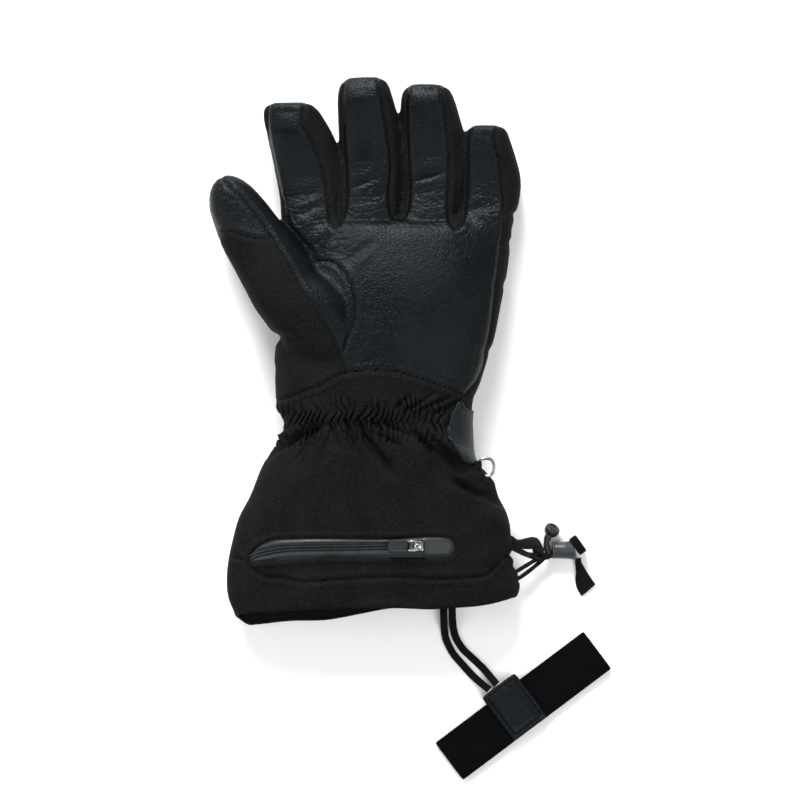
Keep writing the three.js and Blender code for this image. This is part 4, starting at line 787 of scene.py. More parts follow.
# seam lines over the glove
seamRoutes = {
    "indexLeft": [(-64.0, 182.0), (-66.7, 157.1), (-70.1, 149.7), (-70.7, 141.6), (-69.8, 129.8),
                  (-66.9, 117.4), (-64.2, 104.4), (-60.7, 88.9), (-58.4, 78.6), (-54.9, 73.4)],
    "indexRight": [(-45.0, 182.0), (-45.6, 157.1), (-47.0, 150.9), (-48.7, 143.5), (-47.9, 136.6),
                   (-44.1, 129.2), (-40.3, 122.4), (-36.9, 112.8), (-34.6, 103.4), (-33.2, 93.9),
                   (-32.2, 84.3), (-31.6, 78.4), (-29.2, 74.8)],
    "middleLeft": [(-23.3, 195.0), (-23.3, 174.5), (-23.7, 162.7), (-24.2, 150.9), (-24.0, 131.7),
                   (-22.7, 113.1), (-22.0, 98.8), (-22.4, 89.1), (-24.5, 80.5), (-26.7, 76.5), (-29.2, 74.8)],
    "middleRight": [(1.5, 195.0), (0.9, 174.5), (-0.5, 167.6), (-0.8, 161.4), (1.3, 148.1), (3.7, 133.8),
                    (5.6, 120.5), (6.1, 111.0), (5.1, 98.6), (5.4, 89.1), (6.8, 83.3), (10.6, 80.4)],
    "ringLeft": [(18.0, 190.0), (17.0, 168.3), (15.8, 161.4), (15.3, 150.9), (15.2, 136.6), (16.1, 117.6),
                 (16.6, 103.4), (16.1, 92.0), (14.7, 84.3), (13.0, 81.5), (10.6, 80.4)],
    "ringRight": [(42.0, 190.0), (41.2, 169.5), (39.5, 163.7), (37.8, 157.5), (38.9, 148.1),
                  (40.8, 131.9), (41.8, 117.6), (41.8, 103.4), (41.3, 89.1), (42.4, 78.6), (45.7, 74.0)],
    "littleLeft": [(57.0, 165.0), (55.5, 142.2), (53.3, 133.8), (52.4, 126.1), (52.4, 112.8),
                   (52.0, 98.6), (51.1, 87.2), (49.9, 78.6), (48.0, 75.0), (45.7, 74.0)],
    "littleRight": [(77.0, 165.0), (75.3, 144.7), (73.4, 138.1), (69.9, 131.9), (70.3, 126.1),
                    (73.1, 112.8), (75.0, 98.6), (75.8, 89.1), (75.2, 74.8), (73.6, 63.5), (71.7, 49.2),
                    (69.7, 32.5), (67.9, 16.4), (65.4, 2.7), (62.3, -11.5), (57.9, -20.8), (51.1, -28.3)],
    "thumbOuter": [(-104.5, 113.7), (-100.2, 107.6), (-96.4, 103.4), (-90.7, 97.6), (-84.0, 91.0),
                   (-77.4, 83.4), (-70.7, 74.8), (-66.1, 67.2)],
    "thumbInner": [(-66.1, 67.2), (-61.3, 59.6), (-54.7, 48.8), (-48.9, 38.1), (-42.3, 26.5),
                   (-35.7, 15.7), (-29.9, 5.8), (-24.8, -4.7)],
    "thumbRoot": [(-24.8, -4.7), (-22.7, -9.9), (-21.2, -14.8)],
    "keystone": [(-42.3, 54.2), (-35.7, 54.2), (-29.9, 52.9), (-25.8, 50.0), (-21.6, 44.7), (-18.3, 38.1),
                 (-16.3, 30.6), (-16.0, 22.4), (-17.5, 14.1), (-20.0, 7.5), (-22.9, 0.1), (-24.8, -4.7)],
    "thumbGap": [(-74.1, 111.2), (-69.2, 95.7), (-63.6, 83.9), (-58.8, 77.7), (-54.9, 73.4),
                 (-49.8, 67.8), (-45.6, 62.1), (-43.9, 57.9), (-42.3, 54.2)],
    "thumbCap": [(-118.0, 58.0), (-112.6, 61.6), (-100.8, 66.6), (-96.9, 70.9), (-93.5, 72.0),
                 (-87.8, 70.3), (-81.1, 68.3), (-75.4, 67.4), (-66.1, 67.2)],
    "wristLeft": [(-100.0, -36.0), (-74.1, -33.2), (-58.8, -30.6), (-48.1, -26.4), (-38.2, -23.1),
                  (-29.9, -18.2), (-21.2, -14.8)],
    "wristPalm": [(-21.2, -14.8), (-13.4, -14.0), (-2.6, -13.2), (11.4, -14.8), (28.2, -19.6),
                  (42.4, -24.6), (51.1, -28.3)],
    "wristRight": [(51.1, -28.3), (61.0, -30.1), (73.4, -31.4), (100.0, -33.0)],
    "hem": [(-130.0, -126.5), (-98.9, -128.1), (-84.0, -130.6), (-80.3, -135.5), (-71.0, -140.5),
            (-60.5, -141.1), (-47.5, -143.6), (-20.8, -141.7), (5.9, -140.5), (31.9, -141.7),
            (51.7, -141.1), (65.4, -139.3), (72.8, -131.8), (85.8, -125.6), (130.0, -124.0)],
}
seams = {name: smoothLine(route, max(8, int(len(route) * 4))) for name, route in seamRoutes.items()}
backWrist = smoothLine([onBody(-1.4, 0.99), onBody(-0.5, 0.995), onBody(0.5, 1.01), onBody(1.4, 1.02)], 12)


def outline(*pieces):
    # a closed outline from seam names, a minus sign for one run backwards, and loose corners
    lines = []
    for piece in pieces:
        if isinstance(piece, str):
            lines.append(seams[piece[1:]][::-1] if piece[0] == "-" else seams[piece])
        else:
            lines.append(np.array([piece], float))
    return np.concatenate(lines)


zipRoute = [(-81.4, -131.1), (-80.6, -126.2), (-75.7, -121.0), (-69.2, -118.4), (-60.5, -116.9),
            (-26.0, -116.4), (3.4, -116.7), (23.6, -115.7), (35.6, -115.5), (42.9, -117.0), (44.6, -120.8),
            (43.9, -125.2), (40.4, -127.8), (30.7, -128.2), (-26.0, -128.2), (-45.3, -128.9),
            (-70.6, -130.6), (-78.7, -131.3)]
zipOutline = smoothLine(zipRoute, 90, closed=True)
panelOutlines = {
    "palmLeather": outline("wristPalm", "-littleRight", "littleLeft", "-ringRight", "ringLeft",
                           "-middleRight", "middleLeft",
                           "-indexRight", "indexLeft", (-54.9, 73.4), (-49.8, 67.8), (-45.6, 62.1),
                           (-43.9, 57.9),
                           "keystone", "thumbRoot"),
    "indexSide": outline("indexLeft", (-58.8, 77.7), (-63.6, 83.9), (-69.2, 95.7), (-74.1, 111.2),
                         (-80, 125), (-88, 182)),
    "fourchetteIndexMiddle": outline("indexRight", "-middleLeft"),
    "fourchetteMiddleRing": outline("middleRight", "-ringLeft"),
    "fourchetteRingLittle": outline("ringRight", "-littleLeft"),
    "littleSide": outline("littleRight", "wristRight", (130, -34), (130, 165)),
    "thumbLeather": outline("thumbOuter", "thumbInner", "-keystone", "-thumbGap", (-80, 125),
                            (-104.5, 130)),
    "thumbTipCap": outline("thumbCap", "-thumbOuter", (-140, 118), (-140, 58)),
    "thumbOuterSide": outline("thumbCap", "thumbInner", "thumbRoot", "-wristLeft", (-150, -36), (-150, 58)),
    "gauntletFront": outline("wristLeft", "wristPalm", "wristRight", (150, -33), (150, -124), "-hem",
                             (-150, -126), (-150, -36)),
    "hemFront": outline("hem", (150, -124), (150, -220), (-150, -220), (-150, -126)),
}


def lineDistance(x, y, line, reach=1e9, closed=False):
    # distance from each place to a line, left at reach where it is further
    away = np.full(len(x), float(reach))
    low, high = line.min(0) - reach, line.max(0) + reach
    near = np.nonzero((x > low[0]) & (x < high[0]) & (y > low[1]) & (y < high[1]))[0]
    px, py = x[near], y[near]
    best = np.full(len(near), float(reach) ** 2)
    ends = np.roll(line, -1, 0) if closed else line[1:]
    for (ax, ay), (bx, by) in zip(line if closed else line[:-1], ends):
        dx, dy = bx - ax, by - ay
        t = np.clip(((px - ax) * dx + (py - ay) * dy) / max(dx * dx + dy * dy, 1e-9), 0, 1)
        best = np.minimum(best, (px - ax - t * dx) ** 2 + (py - ay - t * dy) ** 2)
    away[near] = np.sqrt(best)
    return away


def insideOutline(x, y, line):
    # even-odd test: how often a level ray from the place crosses the outline
    inside = np.zeros(len(x), bool)
    for (ax, ay), (bx, by) in zip(line, np.roll(line, -1, 0)):
        if ay == by:
            continue
        crosses = ((ay > y) != (by > y)) & (x < (bx - ax) * (y - ay) / (by - ay) + ax)
        inside ^= crosses
    return inside


def signedDistance(x, y, line, reach=12.0):
    # distance to a closed outline, positive within it
    away = lineDistance(x, y, line, reach, closed=True)
    return np.where(insideOutline(x, y, line), away, -away)


# folds, gathers and creases
# places in the frame: from x, y to x, y, half width, height
foldRows = np.array([
    # middle finger
    [-20.2, 98.8, -2.2, 106.3, 1.5, -0.9], [-20.2, 105.0, 2.1, 112.5, 3.0, 0.55],
    [-19.6, 92.6, 1.5, 95.1, 1.0, -0.35], [-20.2, 88.9, -4.0, 92.8, 1.3, -0.45],
    [-20.8, 116.2, 3.4, 117.4, 1.3, -0.3],
    # fingertips: a swell under the tip and a dip at it
    [-66.0, 137.5, -49.0, 137.5, 3.4, 1.0], [-68.0, 146.5, -48.0, 146.5, 2.8, -1.0],
    [-22.0, 155.0, -2.0, 155.0, 3.4, 1.0], [-23.0, 164.5, -1.0, 164.5, 2.8, -1.0],
    [17.0, 151.0, 37.0, 151.0, 3.4, 1.0], [16.0, 160.5, 39.0, 160.5, 2.8, -1.0],
    [55.0, 122.5, 70.0, 122.5, 3.4, 1.0], [55.0, 132.5, 73.0, 131.5, 2.8, -1.0],
    # ring finger
    [18.3, 103.8, 40.0, 109.4, 1.5, -0.95], [17.6, 110.0, 40.0, 113.7, 3.0, 0.5],
    [18.9, 95.1, 36.2, 97.6, 1.0, -0.4], [21.6, 88.5, 38.7, 91.4, 1.3, -0.45],
    [18.0, 118.0, 39.0, 119.5, 1.2, -0.3],
    # bases of the fingers
    [-25.1, 79.6, 9.6, 80.8, 1.6, -0.8], [13.3, 80.8, 41.2, 79.6, 1.5, -0.65],
    [-24.5, 76.0, 8.0, 76.0, 3.0, 0.5],
    # index finger
    [-61.1, 90.8, -36.9, 98.8, 2.2, -0.7], [-57.4, 79.0, -36.9, 89.5, 2.2, -0.6],
    [-60.0, 97.0, -37.0, 104.5, 3.2, 0.5], [-59.0, 85.0, -36.0, 92.5, 2.6, 0.4],
    # little finger
    [52.4, 85.2, 73.4, 89.5, 2.0, -0.65], [52.4, 91.0, 73.4, 95.5, 3.0, 0.4],
    # palm towards the thumb
    [-29.5, 74.6, -44.4, 58.5, 3.0, -1.1], [-25.0, 70.0, -36.0, 56.5, 3.0, 0.8],
    [-5.9, 66.0, -25.1, 51.1, 2.6, -0.8], [-3.0, 60.0, -20.0, 47.0, 3.0, 0.5],
    # thumb's root on the softshell
    [-69.2, 10.2, -52.4, 5.2, 1.6, -1.3], [-68.0, 15.0, -56.0, 10.5, 3.0, 0.7],
    [-66.8, 3.0, -52.0, -1.0, 3.0, 0.6], [-45.0, 66.0, -38.0, 50.0, 2.2, -1.0],
    [-88.6, 63.7, -83.6, 53.0, 1.1, -0.5], [-83.6, 53.0, -77.0, 40.5, 1.1, -0.55],
    [-77.0, 40.5, -71.2, 29.0, 1.1, -0.5], [-71.2, 29.0, -67.5, 19.0, 1.1, -0.4],
    # slanting folds over the gathers at the right
    [8.8, -36.5, 18.1, -29.1, 1.2, -1.6], [15.3, -38.6, 32.5, -28.3, 1.25, -2.2],
    [23.5, -38.3, 41.8, -29.6, 1.25, -2.2], [30.8, -40.6, 47.2, -32.3, 1.35, -2.1],
    [20.0, -36.8, 36.5, -28.2, 1.7, 1.2], [28.0, -37.8, 44.0, -30.2, 1.7, 1.2],
    # fan below the gathers
    [-40.0, -48.4, -59.7, -60.2, 1.5, -3.4], [-59.7, -60.2, -71.0, -67.5, 1.6, -2.6],
    [-42.0, -43.0, -70.0, -61.0, 2.8, 2.4], [-36.0, -46.8, -50.2, -58.6, 1.4, -3.0],
    [-31.3, -46.5, -27.2, -61.2, 1.4, -2.8], [-34.0, -50.0, -40.0, -66.0, 2.8, 2.0],
    [-21.7, -44.4, -16.2, -61.2, 1.4, -3.4], [-25.5, -48.0, -22.0, -64.0, 2.4, 1.6],
    [-14.6, -44.4, -7.5, -58.6, 1.5, -4.2], [-7.5, -57.6, 6.7, -77.0, 2.0, -4.2],
    [-9.0, -48.0, 3.0, -66.0, 2.8, 2.4], [-5.9, -45.0, 0.3, -53.7, 1.3, -3.2],
    [0.3, -53.0, 10.9, -59.6, 1.5, -3.0], [0.9, -45.5, 18.1, -53.7, 1.3, -2.8],
    [4.0, -52.0, 16.0, -60.0, 2.4, 1.6], [24.1, -49.2, 41.6, -64.9, 1.6, -2.6],
    [41.6, -64.9, 48.9, -71.8, 1.6, -2.0], [19.4, -50.7, 32.0, -61.8, 1.8, -5.0],
    [31.0, -61.0, 51.0, -76.0, 2.0, -6.0], [43.5, -79.0, 62.0, -90.2, 2.0, -5.2],
    [60.0, -89.0, 78.2, -97.5, 2.0, -4.0], [19.9, -47.3, 26.3, -56.2, 1.3, -1.44],
    [21.7, -49.2, 39.9, -58.0, 3.0, 1.8], [36.0, -56.0, 58.0, -76.4, 5.0, 4.4],
    [56.0, -76.0, 78.0, -91.0, 4.4, 3.6], [22.0, -66.0, 40.0, -86.0, 6.0, 1.6],
    [40.0, -86.0, 66.0, -99.0, 6.0, 1.4],
    # broad drape of the cuff
    [-60.0, -70.0, -78.0, -104.0, 7.0, -0.8], [-40.0, -62.0, -52.0, -98.0, 9.0, 0.7],
    [-8.0, -70.0, 6.0, -106.0, 9.0, -0.9], [52.0, -100.0, 76.0, -110.0, 5.0, 0.9],
    [-85.0, -118.0, -60.0, -137.0, 5.0, 1.0], [50.0, -133.0, 82.0, -122.0, 5.0, 1.0],
    # the hem's swell
    [-88.0, -149.0, -20.0, -152.0, 7.0, 0.9], [-25.0, -155.0, 30.0, -150.0, 4.0, -0.6],
    [20.0, -152.0, 76.0, -151.0, 6.0, 0.8],
])
# side creases by the side that they are on, 1 right and -1 left: y, half width, depth
sideDents = {1: [(83.8, 2.4, 1.5), (66.0, 3.0, 0.9), (40.0, 3.0, 0.8), (-1.0, 3.0, 0.8),
                      (-127.5, 1.7, 2.0), (-134.5, 2.0, 1.1), (-143.0, 1.8, 1.0)],
             -1: [(7.1, 2.6, 2.2), (-12.0, 4.0, 0.6)]}
gather = {"period": 3.9, "depth": 2.7, "sharp": 0.42}
# each row of puckers: middle, half height, slant, share of a period
gatherRows = [(-33.4, 4.2, 0.2, 0.0), (-40.4, 4.6, -0.38, 0.5), (-47.0, 4.4, 0.3, 0.15),
              (-52.6, 4.6, -0.12, 0.6)]
groove = {"depth": 0.75, "width": 1.0, "swell": 0.42, "swellAt": 3.0, "swellWidth": 1.7}


def foldField(x, y):
    # every row is a ridge or valley h exp(-(d/w)^2) of the distance d to its line, in places swayed by waves
    total = np.zeros(len(x))
    x, y = x + 1.0 * waves(x, y, 4.2, 11.0), y + 1.0 * waves(x, y, 3.6, 12.0)
    uneven = 0.9 + 0.7 * waves(x, y, 5.0, 13.0)
    for ax, ay, bx, by, width, height in foldRows:
        dx, dy = bx - ax, by - ay
        t = ((x - ax) * dx + (y - ay) * dy) / (dx * dx + dy * dy)
        end = np.clip(t, 0, 1)
        away2 = (x - ax - end * dx) ** 2 + (y - ay - end * dy) ** 2
        near = away2 < 9 * width * width
        swing = np.sin(math.pi * (0.14 + 0.72 * end[near]))
        total[near] += height * swing * np.exp(-away2[near] / width ** 2) * uneven[near]
    return total


def wrinkleField(x, y):
    # fine creases of the leather along the zero lines of a wave field, at the finger bases and by the thumb
    base = smoothstep(72, 79, y) * (1 - smoothstep(96, 112, y)) * (0.7 + 0.6 * waves(x, y, 7.0, 15.0))
    heel = np.exp(-((x + 32) / 15) ** 2 - ((y - 64) / 13) ** 2)
    fold = waves(x * 0.7, y * 1.5, 1.9, 21.0) * (1 + 0.4 * waves(x, y, 6.0, 5.0))
    small = waves(x * 0.9, y * 1.3, 1.2, 31.0)
    crease = 0.42 * np.exp(-(fold / 0.1) ** 2) + 0.14 * np.exp(-(small / 0.11) ** 2)
    return -np.clip(base + 1.2 * heel, 0, 1.3) * crease + 0.25 * (base + heel) * waves(x, y, 3.0, 41.0)


def gatherField(x, y):
    # rows of narrow valleys exp(-(sin/sharp)^2), slanting to and fro from row to row, over rounded crests
    v = y + 0.0013 * (x + 5) ** 2
    fade = smoothstep(-84, -66, x) * (1 - smoothstep(38, 43, x))
    total = 0.5 * smoothstep(-58, -50, v) * (1 - smoothstep(-33, -28, v))
    for k, (middle, half, slant, share) in enumerate(gatherRows):
        warp = 4.2 * waves(x, v * 0.6, 6.0, 2.0 + 1.7 * k) + 1.5 * waves(x, v, 2.6, 4.0 + 2.3 * k)
        phase = math.pi * ((x + warp + slant * (v - middle)) / gather["period"] + share)
        depth = gather["depth"] * np.clip(0.8 + 1.5 * waves(x, v, 4.5, 7.0 + 3.1 * k), 0.1, 1.6)
        inside = np.exp(-((v - middle) / half) ** 4)
        total += inside * depth * (0.28 - np.exp(-(np.sin(phase) / gather["sharp"]) ** 2))
    # below them the folds fan out and fade
    spread = (x + 5) / (1 + np.maximum(-50 - v, 0) * 0.02) + 3.5 * waves(x, v * 0.4, 8.0, 17.0)
    fan = 0.35 - np.exp(-(np.sin(math.pi * spread / 9.0) / 0.3) ** 2)
    uneven = np.clip(0.7 + 1.4 * waves(x, v * 0.3, 7.0, 27.0), 0, 1.5)
    tail = np.exp(-np.maximum(-55 - v, 0) / 9.0) * smoothstep(-50, -56, v) * uneven
    return fade * (total + 1.1 * tail * fan)


softLook = {"puff": 0.35, "drape": 0.45}


def relief(p, n):
    # how far each point of the skin moves along its normal, in millimetres
    x, y = p[:, 0], p[:, 1]
    facing = smoothstep(-0.25, 0.35, n[:, 2])
    total = facing * (foldField(x, y) + wrinkleField(x, y))
    total += facing * gatherField(x, y)
    cuffs = 1 - smoothstep(-40, -20, y)
    total += cuffs * softLook["drape"] * waves(x, y, 14.0, 1.0) + 0.12 * waves(x, y, 5.0, 5.0)
    total += (1 - cuffs) * softLook["puff"] * waves(x, y, 11.0, 3.0)
    for side, edge in ((1, 40), (-1, 50)):
        for y0, width, depth in sideDents[side]:
            outward = smoothstep(0.3, 0.95, side * n[:, 0]) * (side * x > edge)
            total -= depth * outward * np.exp(-((y - y0) / width) ** 2)
    return total


def seamField(x, y, names):
    # least distance to the named seams
    away = np.full(len(x), 9.0)
    for name in names:
        away = np.minimum(away, lineDistance(x, y, seams[name], 9.0))
    return away


def refined(points, faces, chosen):
    # chosen triangles are split in four at the middles of their edges, and their neighbours in two
    count = len(points)
    sides = np.sort(np.stack([faces[:, [0, 1]], faces[:, [1, 2]], faces[:, [2, 0]]], 1), 2).astype(np.int64)
    key = sides[..., 0] * count + sides[..., 1]
    chosen = chosen.copy()
    for _ in range(12):
        cut = np.isin(key, key[chosen])
        chosen |= cut.sum(1) > 1
    lines = np.unique(key[chosen])
    middle = (points[lines // count] + points[lines % count]) / 2
    place = count + np.searchsorted(lines, key)
    a, b, c = faces[chosen].T
    ab, bc, ca = place[chosen].T
    pieces = [faces[~chosen & ~cut.any(1)]]
    pieces += [np.stack(t, -1) for t in ((a, ab, ca), (ab, b, bc), (ca, bc, c), (ab, bc, ca))]
    for k in range(3):
        rows = ~chosen & cut[:, k]
        a, b, c = np.roll(faces[rows], -k, 1).T
        pieces += [np.stack((a, place[rows, k], c), -1), np.stack((place[rows, k], b, c), -1)]
    return np.concatenate([points, middle]), np.concatenate(pieces)


def cutMesh(points, faces, value):
    # the part of a triangle mesh where value is above 0; crossed triangles are cut at the zero line
    within = value > 0
    count = within[faces].sum(1)
    made = [faces[count == 3]]
    extra, base = [], len(points)
    for wanted in (1, 2):
        some = faces[count == wanted]
        if not len(some):
            continue
        odd = within[some] if wanted == 1 else ~within[some]
        first = odd.argmax(1)
        turn = (first[:, None] + np.arange(3)) % 3
        a, b, c = np.take_along_axis(some, turn, 1).T
        cuts = []
        for other in (b, c):
            low, high = np.minimum(a, other), np.maximum(a, other)
            pairs, where = np.unique(np.stack([low, high], -1), axis=0, return_inverse=True)
            t = value[pairs[:, 0]] / (value[pairs[:, 0]] - value[pairs[:, 1]])
            extra.append(points[pairs[:, 0]] + (points[pairs[:, 1]] - points[pairs[:, 0]]) * t[:, None])
            cuts.append(base + where.reshape(-1))
            base += len(pairs)
        ab, ac = cuts
        if wanted == 1:
            made.append(np.stack([a, ab, ac], -1))
        else:
            made.append(np.stack([ab, b, c], -1))
            made.append(np.stack([ab, c, ac], -1))
    points = np.concatenate([points] + extra)
    faces = np.concatenate(made)
    # points in the same place become one, and unused ones go
    used, where = np.unique(faces, return_inverse=True)
    points, faces = points[used], where.reshape(-1, 3)
    key = np.round(points[:, :3] * 2000).astype(np.int64)
    _, first, same = np.unique(key, axis=0, return_index=True, return_inverse=True)
    faces = same.reshape(-1)[faces]
    whole = (faces[:, 0] != faces[:, 1]) & (faces[:, 1] != faces[:, 2]) & (faces[:, 2] != faces[:, 0])
    return points[first], faces[whole]


facingUp = 0.05       # least z of the normals that the palm side has
rayHeight = 120.0     # start of the rays that find a surface from above

# the base skin with its normals, finer where the folds are small
skinNormals = normalsOf(skin, skinFaces)
base = np.concatenate([skin, skinNormals], 1)
middles = base[skinFaces].mean(1)
# left, right, low, high of the gathers, the finger bases, the palm by the thumb and the zip
fineBoxes = [(-200, 62, -62, -26), (-62, 76, 72, 114), (-52, -12, 46, 74), (-90, 52, -137, -109)]
inBox = [(middles[:, 0] > left) & (middles[:, 0] < right) & (middles[:, 1] > low) & (middles[:, 1] < high)
         for left, right, low, high in fineBoxes]
base, skinFaces = refined(base, skinFaces, (middles[:, 5] > facingUp) & np.any(inBox, axis=0))
p, n = base[:, :3], unit(base[:, 3:6])
x, y, z = p.T

# side seam: its height along the glove, and none on the thumb
seamHeight = sample(sideSeamRows, alongOf(y))[:, 0] * palm["height"]
bodyLeft = gloveOrigin[0] + sample(bodyRows, alongOf(y))[:, 0]
besideBody = smoothstep(-2, 8, bodyLeft - x) * (y > 8) * (y < 125) * (x < -40)
onThumbShare = besideBody * (1 - smoothstep(-74, -66, x) * (y > 84))
seamHeight = seamHeight - 60 * onThumbShare
frontValue = z - seamHeight

# grooves and swells along the seams
away = np.minimum(seamField(x, y, seams), np.abs(frontValue) + 20 * onThumbShare)
away = np.where(frontValue > 0, away, np.abs(frontValue))
push = relief(p, n)
seamShare = 0.25 + 0.75 * smoothstep(0.1, 0.55, n[:, 2])
seamShare = np.where(frontValue > 0, seamShare, 1.0)
push -= seamShare * groove["depth"] * np.exp(-(away / groove["width"]) ** 2)
push += seamShare * groove["swell"] * np.exp(-((away - groove["swellAt"]) / groove["swellWidth"]) ** 2)

# the zip's tape lies a little below the cloth
zipAway = signedDistance(x, y, zipOutline, 9.0)
top = smoothstep(0.2, 0.6, n[:, 2]) * (y < -100)
push += top * (0.7 * np.exp(-((zipAway + 2.2) / 1.6) ** 2) - 0.8 * smoothstep(-0.6, 0.8, zipAway))
shaped = p + n * push[:, None]
shaped[:, 2] = np.maximum(shaped[:, 2], 0.02)

# the hem's open edge leans: the back layer reaches further out than the palm side
across = acrossOf(x, y)
low = 1 - smoothstep(8, 24, z)
corner = np.where(across < 0, -0.035, 0.05) * np.minimum(np.abs(across), 1.1) ** 4
hang = 0.058 * (1 - smoothstep(-0.35, 0.3, across)) * smoothstep(-1.05, -0.9, across) + 0.008
front = 0.021 + 0.006 * np.cos(across * 5.0)
hemEdge = gloveOrigin[1] + gauntlet["length"] * (front - hang * low + corner) + 0.7 * waves(x, z, 8.0, 9.0)
openValue = y - hemEdge
rim = np.clip(1 - openValue / 2.4, 0, 1)
shaped -= n * (rim ** 3)[:, None]
skinData = np.concatenate([shaped, frontValue[:, None], openValue[:, None], p], 1)
openSkin, openFaces = cutMesh(skinData, skinFaces, openValue)
frontSkin, frontFaces = cutMesh(openSkin, openFaces, openSkin[:, 3])
backSkin, backFaces = cutMesh(openSkin, openFaces, -openSkin[:, 3])
print("skin shaped", len(frontFaces), len(backFaces))


def thick(piece, depth):
    # wall of a panel, inward from its outer face
    modify(piece, "SOLIDIFY", thickness=depth * millimetre, offset=-1, use_even_offset=False)
    return piece


def makePanel(name, solid, source, sourceFaces, value, finish, slot, wall):
    # the part of the skin where value is above 0, as a wall of its own
    points, faces = cutMesh(source, sourceFaces, value)
    dress(thick(putMesh(name, points[:, :3], faces), wall), finish, stands=[solid])
    print(name, len(faces))


fx, fy = frontSkin[:, 5], frontSkin[:, 6]
bx, by = backSkin[:, 5], backSkin[:, 6]
walls = {"leather": 1.4, "finger": 1.2, "cuff": 2.0}
frontPanels = {
    # panel: solid it stands for, wall
    "palmLeather": ("palm_leather", "leather"),
    "indexSide": ("index_side", "finger"),
    "fourchetteIndexMiddle": ("fourchette_index_middle", "finger"),
    "fourchetteMiddleRing": ("fourchette_middle_ring", "finger"),
    "fourchetteRingLittle": ("fourchette_ring_little", "finger"),
    "littleSide": ("little_side", "finger"),
    "thumbLeather": ("thumb_leather", "leather"),
    "thumbTipCap": ("thumb_tip_cap", "leather"),
    "thumbOuterSide": ("thumb_outer", "finger"),
    "gauntletFront": ("gauntlet_front", "cuff"),
    "hemFront": ("hem_front", "cuff"),
}
for name, (solid, wall) in frontPanels.items():
    value = signedDistance(fx, fy, panelOutlines[name])
    if name == "gauntletFront":
        value = np.minimum(value, -signedDistance(fx, fy, zipOutline))
    look = (leather, "leather") if wall == "leather" else (cloth, "softshell")
    makePanel(name, solid, frontSkin, frontFaces, value, *look, walls[wall])

backCuff = np.concatenate([backWrist, [(150, -124)], seams["hem"][::-1], [(-150, -126)]])
backPanels = {
    # panel: solid it stands for, outline, wall
    "handBack": ("hand_back", np.concatenate([backWrist, [(150, 250), (-150, 250)]]), walls["leather"]),
    "gauntletBack": ("gauntlet_back", backCuff, walls["cuff"]),
    "hemBack": ("hem_back", panelOutlines["hemFront"], walls["cuff"]),
}
for name, (solid, border, wall) in backPanels.items():
    makePanel(name, solid, backSkin, backFaces, signedDistance(bx, by, border), cloth, "softshell", wall)
print("panels done")


# the skin from above: its height before the relief for the zip, and its shaped place for stitches
smoothTree = BVHTree.FromPolygons(p.tolist(), skinFaces[n[skinFaces[:, 0], 2] > facingUp].tolist())
shapedTree = BVHTree.FromPolygons(frontSkin[:, :3].tolist(), frontFaces.tolist())


def heightsAt(x, y, tree):
    # height of a surface under each place, by a ray from above
    down = Vector((0, 0, -1))
    heights = [tree.ray_cast(Vector((px, py, rayHeight)), down) for px, py in zip(x.ravel(), y.ravel())]
    return np.array([hit[0].z if hit[0] else np.nan for hit in heights]).reshape(x.shape)


def filled(heights):
    # places beside the skin take the mean height
    return np.where(np.isnan(heights), np.nanmean(heights), heights)


zipLook = {"step": (0.5, 0.3), "sink": 0.95, "welt": 0.95, "coilGap": 0.92, "coil": 0.66, "pitch": 1.28,
           "patchStart": 25.4}
toothLine = smoothLine([(-83.0, -130.2), (-80.2, -128.4), (-76.6, -126.5), (-70.6, -125.0),
                        (-60.5, -123.2), (-40.2, -122.3), (-15.0, -121.9), (3.4, -121.6), (26.3, -121.5),
                        (48.0, -121.7)], 160)


def zipGrid():
    # level grid over the zip, its height on the smooth skin and its distances to the tooth line and the edge
    x = np.arange(-84.5, 47.5, zipLook["step"][0])
    y = np.arange(-134.0, -112.5, zipLook["step"][1])
    x, y = np.meshgrid(x, y, indexing="ij")
    h = filled(heightsAt(x[::4, ::6], y[::4, ::6], smoothTree))
    # the coarse heights are spread over the grid by linear steps
    across = np.stack([np.interp(x[:, 0], x[::4, 0], h[:, k]) for k in range(h.shape[1])], -1)
    h = np.stack([np.interp(y[0], y[0, ::6], row) for row in across])
    centre = np.interp(x, toothLine[:, 0], toothLine[:, 1])
    tilt = np.gradient(np.interp(x[:, 0], toothLine[:, 0], toothLine[:, 1]), x[:, 0])
    d = (y - centre) / np.sqrt(1 + tilt ** 2)[:, None]
    inner = signedDistance(x.ravel(), y.ravel(), zipOutline, 9.0).reshape(x.shape)
    return x, y, h, d, inner


zipX, zipY, zipH, zipD, zipInner = zipGrid()
zipFaces = triangles(gridFaces(*zipX.shape, around=False))


def zipPanel(name, height, value, wall, finish, solid):
    # the part of the zip's grid where value is above 0, at a height over the skin
    data = np.stack([zipX.ravel(), zipY.ravel(), (zipH + height).ravel()], -1)
    whole = np.concatenate([data, value.reshape(-1, 1)], 1)
    points, faces = cutMesh(whole, zipFaces, value.ravel())
    if normalsOf(points[:, :3], faces)[:, 2].mean() < 0:
        faces = faces[:, ::-1]
    return dress(thick(putMesh(name, points[:, :3], faces), wall), finish, stands=[solid])


